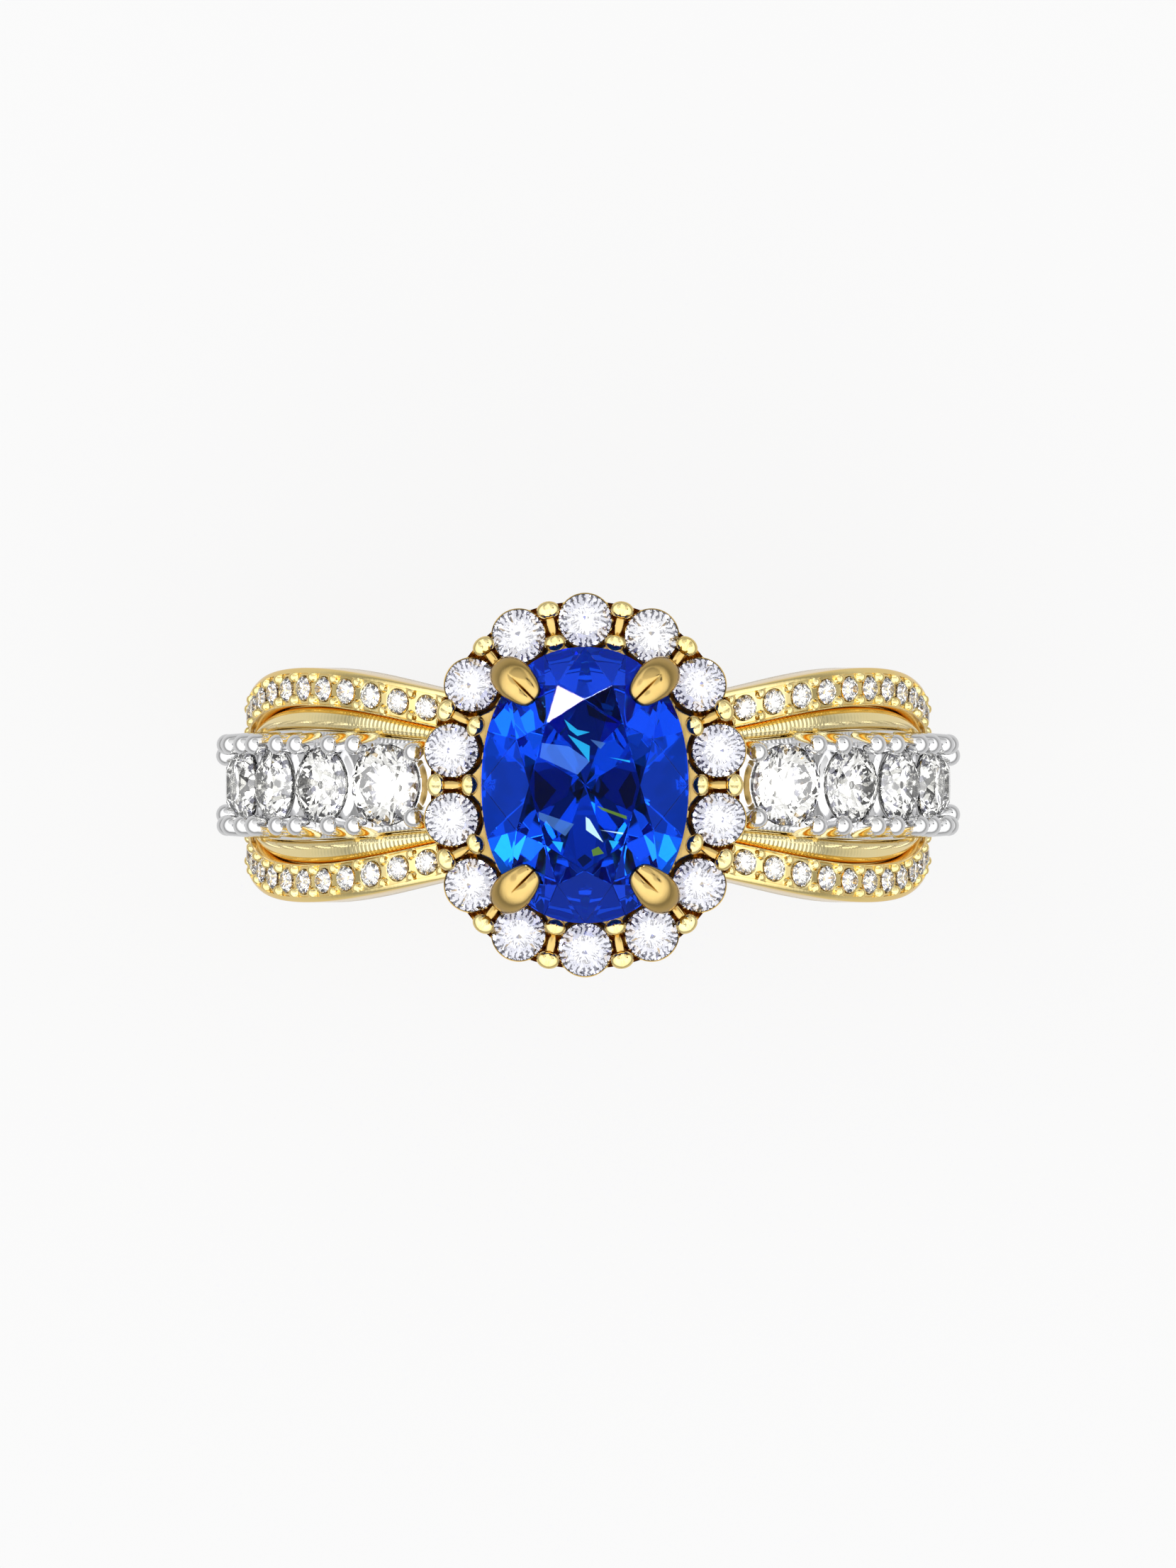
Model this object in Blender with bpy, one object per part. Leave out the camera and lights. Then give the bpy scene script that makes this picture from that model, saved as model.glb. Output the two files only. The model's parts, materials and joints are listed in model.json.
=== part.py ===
"""Two-tone cluster ring: an oval sapphire in a diamond halo, on shoulders of three stone-set rows.

Frame: the origin is the centre of the finger hole, X runs across the shoulders, Y along the finger
and Z up through the head. A place on the band is given by its side (1 right, -1 left), its angle from
the top (+Z) in degrees, its Y and its distance from the finger's axis. The sizes below are in
millimetres, and MM turns them into metres.
"""

import math

import bmesh
import bpy
from mathutils import Matrix, Vector

MM = 0.001
GAP = 0.02  # clearance between neighbouring pieces, as a setter leaves before closing a joint
SHARP_ANGLE = 35.0  # edges bent more than this many degrees stay crisp

# Band
BORE_R = 8.675  # finger hole, US size 7
SHANK_R = 10.10  # outside of the plain shank at the bottom
SHANK_DOME = ((95.0, 0.22), (120.0, 0.42), (180.0, 0.45))  # how far the outside rises above the flat sides
COMFORT = 0.14  # chamfer along the inner edges of the band
SHOULDER_END = 95.0  # angle where the three rows meet the plain shank
SHANK_HALF_WIDTH = ((95.0, 2.16), (104.0, 1.80), (116.0, 1.36), (130.0, 1.15), (140.0, 1.15), (180.0, 1.15))
SHANK_OUTER_R = ((95.0, 9.93), (110.0, 9.98), (130.0, 10.06), (180.0, SHANK_R))
SHANK_STATIONS, SHANK_DOME_POINTS = 25, 7
JOINT_ANGLE = 0.12  # degrees left open between the three rows and the plain shank

# Yellow rails: two on each shoulder, each with a V groove that holds a row of small stones
RAIL_START = 23.2
RAIL_CENTRE_Y = (
    (18.0, 1.90), (28.0, 2.24), (40.0, 2.60), (50.0, 2.78), (60.0, 2.80),
    (70.0, 2.64), (80.0, 2.27), (90.0, 1.80), (95.0, 1.56),
)
RAIL_OUTER, RAIL_INNER = 0.60, 0.50  # from the centre line to the rail's two sides
RAIL_TOP_R, RAIL_EDGE_R, LEDGE_R, RAIL_ROUND = 9.95, 9.78, 9.27, 0.12
GROOVE_HALF = 0.42
GROOVE_SHOULDER_R = ((23.0, 9.78), (84.0, 9.78), (95.0, 9.92))
GROOVE_FLOOR_R = ((23.0, 9.36), (84.0, 9.36), (95.0, 9.90))
RAIL_STATIONS = 14
WIRE_START, WIRE_END, WIRE_HEIGHT = 22.0, 87.0, 0.46
WIRE_STATIONS = 12
WIRE_SECTION = ((0.0, 0.0), (0.1, 0.6), (0.5, 1.0), (0.9, 0.6), (1.0, 0.0))  # shares of its width and height

# Small rail stones
MELEE_R, MELEE_GIRDLE_R = 0.36, 9.86
MELEE_CROWN, MELEE_GIRDLE, MELEE_PAVILION = 0.12, 0.02, 0.32
MELEE_FIRST, MELEE_PITCH, MELEE_COUNT = 28.0, 5.75, 11
MELEE_BAR_HALF, MELEE_BAR_LOW, MELEE_BAR_HIGH = 0.07, 9.60, 9.78

# White centre row of each shoulder
CHANNEL_START = 23.2
CHANNEL_HALF_WIDTH = (
    (22.0, 1.20), (35.0, 1.36), (50.0, 1.56), (65.0, 1.60), (78.0, 1.48), (88.0, 1.20), (95.0, 0.98),
)
CHANNEL_EDGE = 0.02  # least width of the flange beside the raised seats
CHANNEL_TOP_HALF, FLANGE_LOW_R, FLANGE_HIGH_R, CHANNEL_TOP_R = 1.22, 9.68, 9.84, 10.25
CHANNEL_STATIONS = 13
ROW_STONES = ((34.6, 1.17), (48.75, 1.10), (62.05, 1.10), (75.35, 1.08), (87.7, 0.90))  # angle, radius
ROW_GAPS = (42.1, 55.4, 68.7, 82.0)  # angles of the gaps between the stones
PRONG_R, PRONG_Y, PRONG_APART = 0.305, 1.18, 2.65  # radius, Y, and degrees either side of a gap's middle
PRONG_FIRST, PRONG_LAST = (28.2, 0.95), (92.4, 0.86)  # angle and Y of the row's end prongs
PRONG_BEAD_R, PRONG_FOOT_R = 10.57, 9.80
PRONG_TURNS, BEAD_SIDES = (0.0, 0.65, 1.2), 6  # where the ball of a prong is faceted, in radians

# Head
HALO_A, HALO_B, HALO_POWER, HALO_COUNT = 3.93, 4.77, 2.25, 14  # the curve that the halo stones lie on
HALO_STONE_R, HALO_RIM_R, HALO_WEB = 0.765, 0.82, 0.55
HALO_LOW, HALO_TOP, HALO_TAPER = 9.90, 10.78, 0.16
HALO_INNER_A, HALO_INNER_B, HALO_INNER_POWER = 2.88, 3.88, 2.1
HALO_BEAD_R, HALO_BEAD_IN, HALO_BEAD_OUT = 0.28, 0.59, 0.42  # radius, and how far from the stones' curve
HALO_BEAD_Z, HALO_BEAD_ROOT, HALO_BEAD_FOOT = 10.92, 0.25, 0.90
HALO_BEAD_TURNS = (0.0, 1.0)
BEADLESS, BEADLESS_R = (2.10, 3.10), 0.72  # no beads this near each claw
HALO_SAMPLES = 6 * HALO_COUNT
STONE_A, STONE_B = 3.0, 4.0  # the centre stone, 6 x 8 mm
CULET_Z, GIRDLE_Z, GIRDLE_THICK, TABLE_Z = 8.96, 11.55, 0.18, 12.78
CLAW_PATH = (  # x, y, z, width and thickness of the right-hand back claw, from its foot to its tip
    (2.26, 2.72, 9.00, 0.60, 0.60),
    (2.22, 2.98, 10.20, 0.60, 0.60),
    (2.24, 3.12, 10.90, 0.62, 0.60),
    (2.36, 3.32, 11.50, 0.86, 0.68),
    (2.28, 3.26, 11.89, 1.08, 0.74),
    (2.06, 3.05, 12.15, 1.16, 0.76),
    (1.79, 2.79, 12.26, 1.03, 0.66),
    (1.58, 2.58, 12.33, 0.80, 0.52),
    (1.48, 2.48, 12.36, 0.54, 0.36),
    (1.44, 2.44, 12.37, 0.20, 0.14),
)
CLAW_SIDES = 8
CLAW_NOTCH, CLAW_NOTCH_R, CLAW_NOTCH_HIGH = (2.22, 3.03), 0.40, 11.90  # where each claw passes the halo
CLAW_NOTCH_LOW, CLAW_NOTCH_SIDES = 8.90, 12
GALLERY_A, GALLERY_B, GALLERY_POWER = 3.06, 3.00, 6.0
GALLERY_HALF, GALLERY_TOP_R = 0.30, 9.45
BASKET_A, BASKET_B, BASKET_POWER, BASKET_Z, BASKET_WIRE_R = 2.49, 3.49, 2.4, 10.05, 0.19
BASKET_SIDES = 5
POST_R, POST_FOOT_Z, POST_HEAD_Y, POST_SIDES, POST_STATIONS = 0.26, 9.20, 4.25, 8, 3
RING_SAMPLES = 36

# Cuts of the stones, as shares of the radius, and the seats cut for them
ROUND_TABLE, ROUND_CROWN, ROUND_GIRDLE, ROUND_PAVILION = 0.57, 0.295, 0.05, 0.86
OVAL_TABLE, OVAL_STAR, OVAL_LOWER = 0.58, 0.80, 0.24
SEAT_SIDES, SEAT_DROP, SEAT_HOLE, SEAT_ABOVE = 12, 0.03, 0.36, 0.90
ROW_SEAT_DEPTH, HALO_SEAT_DEPTH = 2.4, 1.4
CUTTER_HALF_LENGTH, CUTTER_SIDES = 7.0, 96

YELLOW_GOLD = ("yellow_gold", (0.95, 0.68, 0.20, 1.0), 0.16, 1.0)
SATIN_GOLD = ("satin_gold", (0.72, 0.53, 0.20, 1.0), 0.34, 1.0)
WHITE_GOLD = ("white_gold", (0.86, 0.86, 0.87, 1.0), 0.10, 1.0)
DIAMOND = ("diamond", (0.96, 0.97, 1.0, 1.0), 0.0, 0.0)
SAPPHIRE = ("sapphire", (0.01, 0.08, 0.80, 1.0), 0.0, 0.0)


def clear_scene():
    for obj in list(bpy.data.objects):
        bpy.data.objects.remove(obj, do_unlink=True)


def material(finish):
    name, colour, roughness, metallic = finish
    found = bpy.data.materials.get(name)
    if found:
        return found
    made = bpy.data.materials.new(name)
    made.use_nodes = True
    shader = made.node_tree.nodes["Principled BSDF"]
    shader.inputs["Base Color"].default_value = colour
    shader.inputs["Roughness"].default_value = roughness
    shader.inputs["Metallic"].default_value = metallic
    return made


def smooth_value(knots, at):
    """The value at one position on a smooth curve through (position, value) knots."""
    at = min(max(at, knots[0][0]), knots[-1][0])
    last = len(knots) - 1
    i = max(k for k in range(last) if knots[k][0] <= at)

    def slope(k):
        before, after = knots[max(k - 1, 0)], knots[min(k + 1, last)]
        return (after[1] - before[1]) / (after[0] - before[0])

    (x0, y0), (x1, y1) = knots[i], knots[i + 1]
    span = x1 - x0
    t = (at - x0) / span
    rise = 3 * t**2 - 2 * t**3
    return (
        y0 * (1 - rise)
        + y1 * rise
        + span * (slope(i) * (t**3 - 2 * t**2 + t) + slope(i + 1) * (t**3 - t**2))
    )


def steps(first, last, count):
    return [first + (last - first) * i / (count - 1) for i in range(count)]


def on_band(side, angle, y, radius):
    turn = math.radians(angle)
    return Vector((side * radius * math.sin(turn), y, radius * math.cos(turn)))


def superellipse(a, b, power, turn):
    """The point at one direction on |x/a|^power + |y/b|^power = 1."""
    c, s = math.cos(turn), math.sin(turn)
    reach = (abs(c / a) ** power + abs(s / b) ** power) ** (-1 / power)
    return Vector((reach * c, reach * s, 0.0))


def evenly_round(a, b, power, count, offset=0.0):
    """Points a count-th of the superellipse's length apart, from its +Y end; offset is in spaces."""
    fine = 1440
    points = [superellipse(a, b, power, math.pi / 2 - math.tau * i / fine) for i in range(fine + 1)]
    run = [0.0]
    for before, after in zip(points, points[1:]):
        run.append(run[-1] + (after - before).length)
    found = []
    for k in range(count):
        want = ((k + offset) % count) * run[-1] / count
        i = next(j for j in range(1, fine + 1) if run[j] >= want)
        share = (want - run[i - 1]) / (run[i] - run[i - 1])
        found.append(points[i - 1].lerp(points[i], share))
    return found


def finished(name, bm, finish, smooth=True):
    """Turns a bmesh in millimetres into a named object in metres."""
    bmesh.ops.recalc_face_normals(bm, faces=bm.faces)
    bmesh.ops.scale(bm, vec=(MM, MM, MM), verts=bm.verts)
    mesh = bpy.data.meshes.new(name)
    bm.to_mesh(mesh)
    bm.free()
    if smooth:
        mesh.shade_smooth()
        mesh.set_sharp_from_angle(angle=math.radians(SHARP_ANGLE))
    obj = bpy.data.objects.new(name, mesh)
    if finish:
        mesh.materials.append(material(finish))
    bpy.context.scene.collection.objects.link(obj)
    return obj


def add_loft(bm, rings, closed=False):
    """Joins rings of points into a skin, with a cap on each end unless it closes on itself."""
    made = [[bm.verts.new(p) for p in ring] for ring in rings]
    pairs = list(zip(made, made[1:]))
    if closed:
        pairs.append((made[-1], made[0]))
    for before, after in pairs:
        for i in range(len(before)):
            j = (i + 1) % len(before)
            bm.faces.new((before[i], before[j], after[j], after[i]))
    if not closed:
        bm.faces.new(made[0])
        bm.faces.new(made[-1])


def lofted(name, rings, finish, closed=False):
    bm = bmesh.new()
    add_loft(bm, rings, closed)
    return finished(name, bm, finish)


def cut(obj, cutter, operation="DIFFERENCE"):
    """Cuts a helper from an object, or joins it on, and hides the helper."""
    cutter.hide_render = True
    cutter.display_type = "WIRE"
    boolean = obj.modifiers.new(cutter.name, "BOOLEAN")
    boolean.operation = operation
    boolean.object = cutter


def add_turned(bm, place, profile, sides, spin=0.0):
    """Adds a capped solid turned about place's Z axis from (radius, height) points."""
    rings = []
    for radius, height in profile:
        angles = [spin + math.tau * i / sides for i in range(sides)]
        rings.append([place @ Vector((radius * math.cos(a), radius * math.sin(a), height)) for a in angles])
    add_loft(bm, rings)


def axis_place(point, up):
    """A matrix that stands a turned solid on a point with its axis along up."""
    return Matrix.Translation(point) @ up.to_track_quat("Z", "Y").to_matrix().to_4x4()


# Stones


def add_stone(bm, place, a, b, crown, girdle, pavilion, full=False, table=ROUND_TABLE):
    """A brilliant or single cut stone about place's Z axis, with the bottom of its girdle at height 0."""
    corners = 16 if full else 8
    step = math.tau / corners

    def ring(radius, height, turn=0.0, count=8):
        angles = [turn + math.tau * i / count for i in range(count)]
        spots = [Vector((a * radius * math.cos(t), b * radius * math.sin(t), height)) for t in angles]
        return [bm.verts.new(place @ spot) for spot in spots]

    low, high = ring(1.0, 0.0, 0.0, corners), ring(1.0, girdle, 0.0, corners)
    top = ring(table, girdle + crown)
    culet = bm.verts.new(place @ Vector((0.0, 0.0, -pavilion)))
    bm.faces.new(top)
    for i in range(corners):
        bm.faces.new((low[i], low[(i + 1) % corners], high[(i + 1) % corners], high[i]))
    if not full:
        for i in range(8):
            bm.faces.new((high[i], high[(i + 1) % 8], top[(i + 1) % 8], top[i]))
            bm.faces.new((low[(i + 1) % 8], low[i], culet))
        return
    # Star points and lower points lie in the planes of the main facets on both sides of them.
    slope = crown / (1 - table)
    stars = ring(OVAL_STAR, girdle + slope * (1 - OVAL_STAR * math.cos(step)), step)
    lowers = ring(OVAL_LOWER, -pavilion * (1 - OVAL_LOWER * math.cos(step)), step)
    for i in range(8):
        after, here, middle, end = (i + 1) % 8, 2 * i, 2 * i + 1, (2 * i + 2) % 16
        bm.faces.new((top[i], top[after], stars[i]))
        bm.faces.new((top[i], stars[i], high[here], stars[i - 1]))
        bm.faces.new((stars[i], high[middle], high[here]))
        bm.faces.new((stars[i], high[end], high[middle]))
        bm.faces.new((lowers[i], low[here], low[middle]))
        bm.faces.new((lowers[i], low[middle], low[end]))
        bm.faces.new((culet, lowers[i - 1], low[here], lowers[i]))


def round_stone(name, place, radius):
    bm = bmesh.new()
    heights = [share * radius for share in (ROUND_CROWN, ROUND_GIRDLE, ROUND_PAVILION)]
    add_stone(bm, place, radius, radius, *heights)
    return finished(name, bm, DIAMOND, smooth=False)


def build_centre_stone():
    bm = bmesh.new()
    place = Matrix.Translation((0, 0, GIRDLE_Z))
    crown = TABLE_Z - GIRDLE_Z - GIRDLE_THICK
    depth = GIRDLE_Z - CULET_Z
    add_stone(bm, place, STONE_A, STONE_B, crown, GIRDLE_THICK, depth, full=True, table=OVAL_TABLE)
    return finished("centre_sapphire", bm, SAPPHIRE, smooth=False)


def seat_profile(radius, below):
    """A cutter for a round stone's seat: a cone a little wider than its pavilion, over a light hole."""
    wide = (radius + GAP) / math.cos(math.pi / SEAT_SIDES)
    hole = SEAT_HOLE * radius
    cone = (wide - hole) * ROUND_PAVILION
    return ((wide, SEAT_ABOVE), (wide, -SEAT_DROP), (hole, -SEAT_DROP - cone), (hole, -below))


def row_place(side, angle):
    return axis_place(on_band(side, angle, 0.0, CHANNEL_TOP_R), on_band(side, angle, 0.0, 1.0))


# Band


def shank_ring(angle):
    side_angle = 180 - abs(180 - angle)
    half = smooth_value(SHANK_HALF_WIDTH, side_angle)
    top = smooth_value(SHANK_OUTER_R, side_angle)
    dome = smooth_value(SHANK_DOME, side_angle)
    section = [(-half + COMFORT, BORE_R), (half - COMFORT, BORE_R), (half, BORE_R + COMFORT)]
    for turn in steps(0.0, math.pi, SHANK_DOME_POINTS):
        section.append((half * math.cos(turn), top - dome * (1 - math.sin(turn))))
    section.append((-half, BORE_R + COMFORT))
    return [on_band(1, angle, y, radius) for y, radius in section]


def build_shank():
    angles = steps(SHOULDER_END, 360 - SHOULDER_END, SHANK_STATIONS)
    return lofted("shank", [shank_ring(angle) for angle in angles], YELLOW_GOLD)


def rail_ring(side, face, angle):
    """Section of a rail: a foot against the white row, a ledge for the milled wire, and a grooved top."""
    middle = smooth_value(RAIL_CENTRE_Y, angle)
    foot = smooth_value(CHANNEL_HALF_WIDTH, angle) + GAP
    inner, outer = middle - RAIL_INNER, middle + RAIL_OUTER
    low, high = middle - GROOVE_HALF, middle + GROOVE_HALF
    shoulder = smooth_value(GROOVE_SHOULDER_R, angle)
    section = (
        (foot, BORE_R), (outer - COMFORT, BORE_R), (outer, BORE_R + COMFORT), (outer, RAIL_EDGE_R),
        (outer - RAIL_ROUND, RAIL_TOP_R), (high, RAIL_TOP_R), (high, shoulder),
        (middle, smooth_value(GROOVE_FLOOR_R, angle)), (low, shoulder), (low, RAIL_TOP_R),
        (inner, RAIL_TOP_R - RAIL_ROUND / 2), (inner, LEDGE_R), (foot, LEDGE_R),
    )
    return [on_band(side, angle, face * y, radius) for y, radius in section]


def build_rail(side, face, where):
    angles = steps(RAIL_START, SHOULDER_END - JOINT_ANGLE, RAIL_STATIONS)
    return lofted(f"rail_{where}", [rail_ring(side, face, angle) for angle in angles], YELLOW_GOLD)


def build_wire(side, face, where):
    """The milled wire that lies on the rail's ledge, as wide as the space beside the white row."""
    rings = []
    for angle in steps(WIRE_START, WIRE_END, WIRE_STATIONS):
        low = smooth_value(CHANNEL_HALF_WIDTH, angle) + 2 * GAP
        high = smooth_value(RAIL_CENTRE_Y, angle) - RAIL_INNER - GAP
        ring = []
        for across, rise in WIRE_SECTION:
            y = low + (high - low) * across
            ring.append(on_band(side, angle, face * y, LEDGE_R + GAP + WIRE_HEIGHT * rise))
        rings.append(ring)
    return lofted(f"milgrain_wire_{where}", rings, YELLOW_GOLD)


def build_melee(side, face, where):
    """A rail's row of small stones, joined by a thin bar under their girdles, inside the groove."""
    angles = [MELEE_FIRST + MELEE_PITCH * i for i in range(MELEE_COUNT)]
    bar, stones = [], bmesh.new()
    for angle in angles:
        y = face * smooth_value(RAIL_CENTRE_Y, angle)
        place = axis_place(on_band(side, angle, y, MELEE_GIRDLE_R), on_band(side, angle, 0.0, 1.0))
        add_stone(stones, place, MELEE_R, MELEE_R, MELEE_CROWN, MELEE_GIRDLE, MELEE_PAVILION)
        top_left = on_band(side, angle, y - MELEE_BAR_HALF, MELEE_BAR_HIGH)
        top_right = on_band(side, angle, y + MELEE_BAR_HALF, MELEE_BAR_HIGH)
        bar.append([on_band(side, angle, y, MELEE_BAR_LOW), top_right, top_left])
    obj = lofted(f"melee_row_{where}", bar, DIAMOND)
    cut(obj, finished(f"melee_stones_{where}", stones, None, smooth=False), "UNION")
    return obj


def channel_ring(side, angle):
    """Section of a white row: upright walls, a sloping flange and a raised bed for the stones."""
    half = smooth_value(CHANNEL_HALF_WIDTH, angle)
    top_half = min(CHANNEL_TOP_HALF, half - CHANNEL_EDGE)
    right = ((half, BORE_R), (half, FLANGE_LOW_R), (top_half, FLANGE_HIGH_R), (top_half, CHANNEL_TOP_R))
    section = list(right) + [(-y, radius) for y, radius in reversed(right)]
    return [on_band(side, angle, y, radius) for y, radius in section]


def prong_places():
    """Angle and Y of the bead prongs on one edge of a row: two at each gap, and one at each end."""
    found = [PRONG_FIRST]
    for gap in ROW_GAPS:
        found += [(gap - PRONG_APART, PRONG_Y), (gap + PRONG_APART, PRONG_Y)]
    return found + [PRONG_LAST]


def build_channel(side, where):
    """The white metal body of one centre row, with its bead prongs joined on and its seats cut."""
    angles = steps(CHANNEL_START, SHOULDER_END - JOINT_ANGLE, CHANNEL_STATIONS)
    body = lofted(f"channel_{where}", [channel_ring(side, angle) for angle in angles], WHITE_GOLD)
    prongs, seats = bmesh.new(), bmesh.new()
    rise = PRONG_BEAD_R - PRONG_FOOT_R
    bead = [(PRONG_R, 0.0)]
    bead += [(PRONG_R * math.cos(t), rise + PRONG_R * math.sin(t)) for t in PRONG_TURNS]
    for angle, y in prong_places():
        for face in (-1, 1):
            place = axis_place(on_band(side, angle, face * y, PRONG_FOOT_R), on_band(side, angle, 0.0, 1.0))
            add_turned(prongs, place, bead, BEAD_SIDES)
    for angle, radius in ROW_STONES:
        add_turned(seats, row_place(side, angle), seat_profile(radius, ROW_SEAT_DEPTH), SEAT_SIDES)
    cut(body, finished(f"channel_prongs_{where}", prongs, None), "UNION")
    cut(body, finished(f"channel_seats_{where}", seats, None))
    return body


def build_row_stones(side, where):
    for i, (angle, radius) in enumerate(ROW_STONES):
        round_stone(f"row_diamond_{where}_{i + 1}", row_place(side, angle), radius)


# Head


def halo_centres():
    return evenly_round(HALO_A, HALO_B, HALO_POWER, HALO_COUNT)


def halo_reach(turn, centres):
    """How far the halo's scalloped edge lies from the middle in one direction."""
    ray = Vector((math.cos(turn), math.sin(turn), 0.0))
    reach = superellipse(HALO_A, HALO_B, HALO_POWER, turn).length + HALO_WEB
    for centre in centres:
        along = centre.dot(ray)
        aside = centre.length_squared - along**2
        if along > 0 and aside < HALO_RIM_R**2:
            reach = max(reach, along + math.sqrt(HALO_RIM_R**2 - aside))
    return reach


def halo_rings(centres):
    """Sections of the plate: scalloped outside, and open under the centre stone."""
    rings = []
    for i in range(HALO_SAMPLES):
        turn = math.tau * i / HALO_SAMPLES
        ray = Vector((math.cos(turn), math.sin(turn), 0.0))
        outside = ray * halo_reach(turn, centres)
        inside = superellipse(HALO_INNER_A, HALO_INNER_B, HALO_INNER_POWER, turn)
        low = outside - ray * HALO_TAPER
        corners = ((inside, HALO_LOW), (low, HALO_LOW), (outside, HALO_TOP), (inside, HALO_TOP))
        rings.append([Vector((spot.x, spot.y, z)) for spot, z in corners])
    return rings


def halo_beads():
    """Two bead prongs between every two stones, except beside the claws."""
    beads = bmesh.new()
    stem = HALO_BEAD_Z - HALO_TOP
    profile = [(HALO_BEAD_FOOT * HALO_BEAD_R, -HALO_BEAD_ROOT)]
    profile += [(HALO_BEAD_R * math.cos(t), stem + HALO_BEAD_R * math.sin(t)) for t in HALO_BEAD_TURNS]
    for middle in evenly_round(HALO_A, HALO_B, HALO_POWER, HALO_COUNT, offset=0.5):
        for reach in (-HALO_BEAD_IN, HALO_BEAD_OUT):
            spot = middle + middle.normalized() * reach
            from_claw = Vector((abs(spot.x) - BEADLESS[0], abs(spot.y) - BEADLESS[1])).length
            if from_claw > BEADLESS_R:
                add_turned(beads, Matrix.Translation((spot.x, spot.y, HALO_TOP)), profile, BEAD_SIDES)
    return finished("halo_beads", beads, None)


def halo_seats(centres):
    seats = bmesh.new()
    for centre in centres:
        place = Matrix.Translation((centre.x, centre.y, HALO_TOP + GAP))
        add_turned(seats, place, seat_profile(HALO_STONE_R, HALO_SEAT_DEPTH), SEAT_SIDES)
    return finished("halo_seats", seats, None)


def halo_claw_notches():
    notches = bmesh.new()
    profile = ((CLAW_NOTCH_R, CLAW_NOTCH_LOW), (CLAW_NOTCH_R, CLAW_NOTCH_HIGH))
    for side in (-1, 1):
        for face in (-1, 1):
            place = Matrix.Translation((side * CLAW_NOTCH[0], face * CLAW_NOTCH[1], 0.0))
            add_turned(notches, place, profile, CLAW_NOTCH_SIDES)
    return finished("halo_claw_notches", notches, None)


def build_halo():
    centres = halo_centres()
    plate = lofted("halo_plate", halo_rings(centres), YELLOW_GOLD, closed=True)
    cut(plate, halo_beads(), "UNION")
    cut(plate, halo_seats(centres))
    cut(plate, halo_claw_notches())


def build_halo_stones():
    for i, centre in enumerate(halo_centres()):
        place = Matrix.Translation((centre.x, centre.y, HALO_TOP + GAP))
        round_stone(f"halo_diamond_{i + 1:02d}", place, HALO_STONE_R)


def claw_rings(side, face):
    points = [Vector((side * x, face * y, z)) for x, y, z, _, _ in CLAW_PATH]
    across = Vector((-face * math.sqrt(0.5), side * math.sqrt(0.5), 0.0))
    rings = []
    for i, (_, _, _, width, thickness) in enumerate(CLAW_PATH):
        run = (points[min(i + 1, len(points) - 1)] - points[max(i - 1, 0)]).normalized()
        over = run.cross(across).normalized()
        angles = [math.tau * k / CLAW_SIDES for k in range(CLAW_SIDES)]
        wide, thick = across * (width / 2), over * (thickness / 2)
        rings.append([points[i] + wide * math.cos(t) + thick * math.sin(t) for t in angles])
    return rings


def bore_cutter(name, radius):
    """A cylinder along the finger."""
    bm = bmesh.new()
    place = axis_place(Vector((0, -CUTTER_HALF_LENGTH, 0)), Vector((0, 1, 0)))
    add_turned(bm, place, ((radius, 0.0), (radius, 2 * CUTTER_HALF_LENGTH)), CUTTER_SIDES)
    return finished(name, bm, None)


def centre_seat():
    """The centre stone, a little larger all over, that cuts the notch in each claw."""
    bm = bmesh.new()
    place = Matrix.Translation((0, 0, GIRDLE_Z - GAP))
    crown = TABLE_Z - GIRDLE_Z - GIRDLE_THICK
    grown_a, grown_b, girdle = STONE_A + 2 * GAP, STONE_B + 2 * GAP, GIRDLE_THICK + 2 * GAP
    depth = GIRDLE_Z - CULET_Z
    add_stone(bm, place, grown_a, grown_b, crown, girdle, depth, full=True, table=OVAL_TABLE)
    return finished("centre_seat", bm, None, smooth=False)


def build_claw(side, face, where, foot_cutter, notch):
    claw = lofted(f"claw_{where}", claw_rings(side, face), SATIN_GOLD)
    cut(claw, foot_cutter)
    cut(claw, notch)
    return claw


def build_gallery():
    """The frame under the head: a rounded square ring that lies on the finger, between the shoulders."""
    rings = []
    for i in range(RING_SAMPLES):
        turn = math.tau * i / RING_SAMPLES
        middle = superellipse(GALLERY_A, GALLERY_B, GALLERY_POWER, turn)
        ray = Vector((math.cos(turn), math.sin(turn), 0.0))
        inside, outside = middle - ray * GALLERY_HALF, middle + ray * GALLERY_HALF
        corners = ((inside, BORE_R), (outside, BORE_R), (outside, GALLERY_TOP_R), (inside, GALLERY_TOP_R))
        ring = [Vector((spot.x, spot.y, math.sqrt(radius**2 - spot.x**2))) for spot, radius in corners]
        rings.append(ring)
    return lofted("gallery_rail", rings, YELLOW_GOLD, closed=True)


def build_basket():
    """The wire ring inside the claws, round the stone's pavilion."""
    rings = []
    for i in range(RING_SAMPLES):
        turn = math.tau * i / RING_SAMPLES
        middle = superellipse(BASKET_A, BASKET_B, BASKET_POWER, turn)
        ray = Vector((math.cos(turn), math.sin(turn), 0.0))
        middle.z = BASKET_Z
        angles = [math.tau * k / BASKET_SIDES for k in range(BASKET_SIDES)]
        wire = [ray * math.cos(t) + Vector((0, 0, math.sin(t))) for t in angles]
        rings.append([middle + BASKET_WIRE_R * spot for spot in wire])
    return lofted("basket_ring", rings, YELLOW_GOLD, closed=True)


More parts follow.
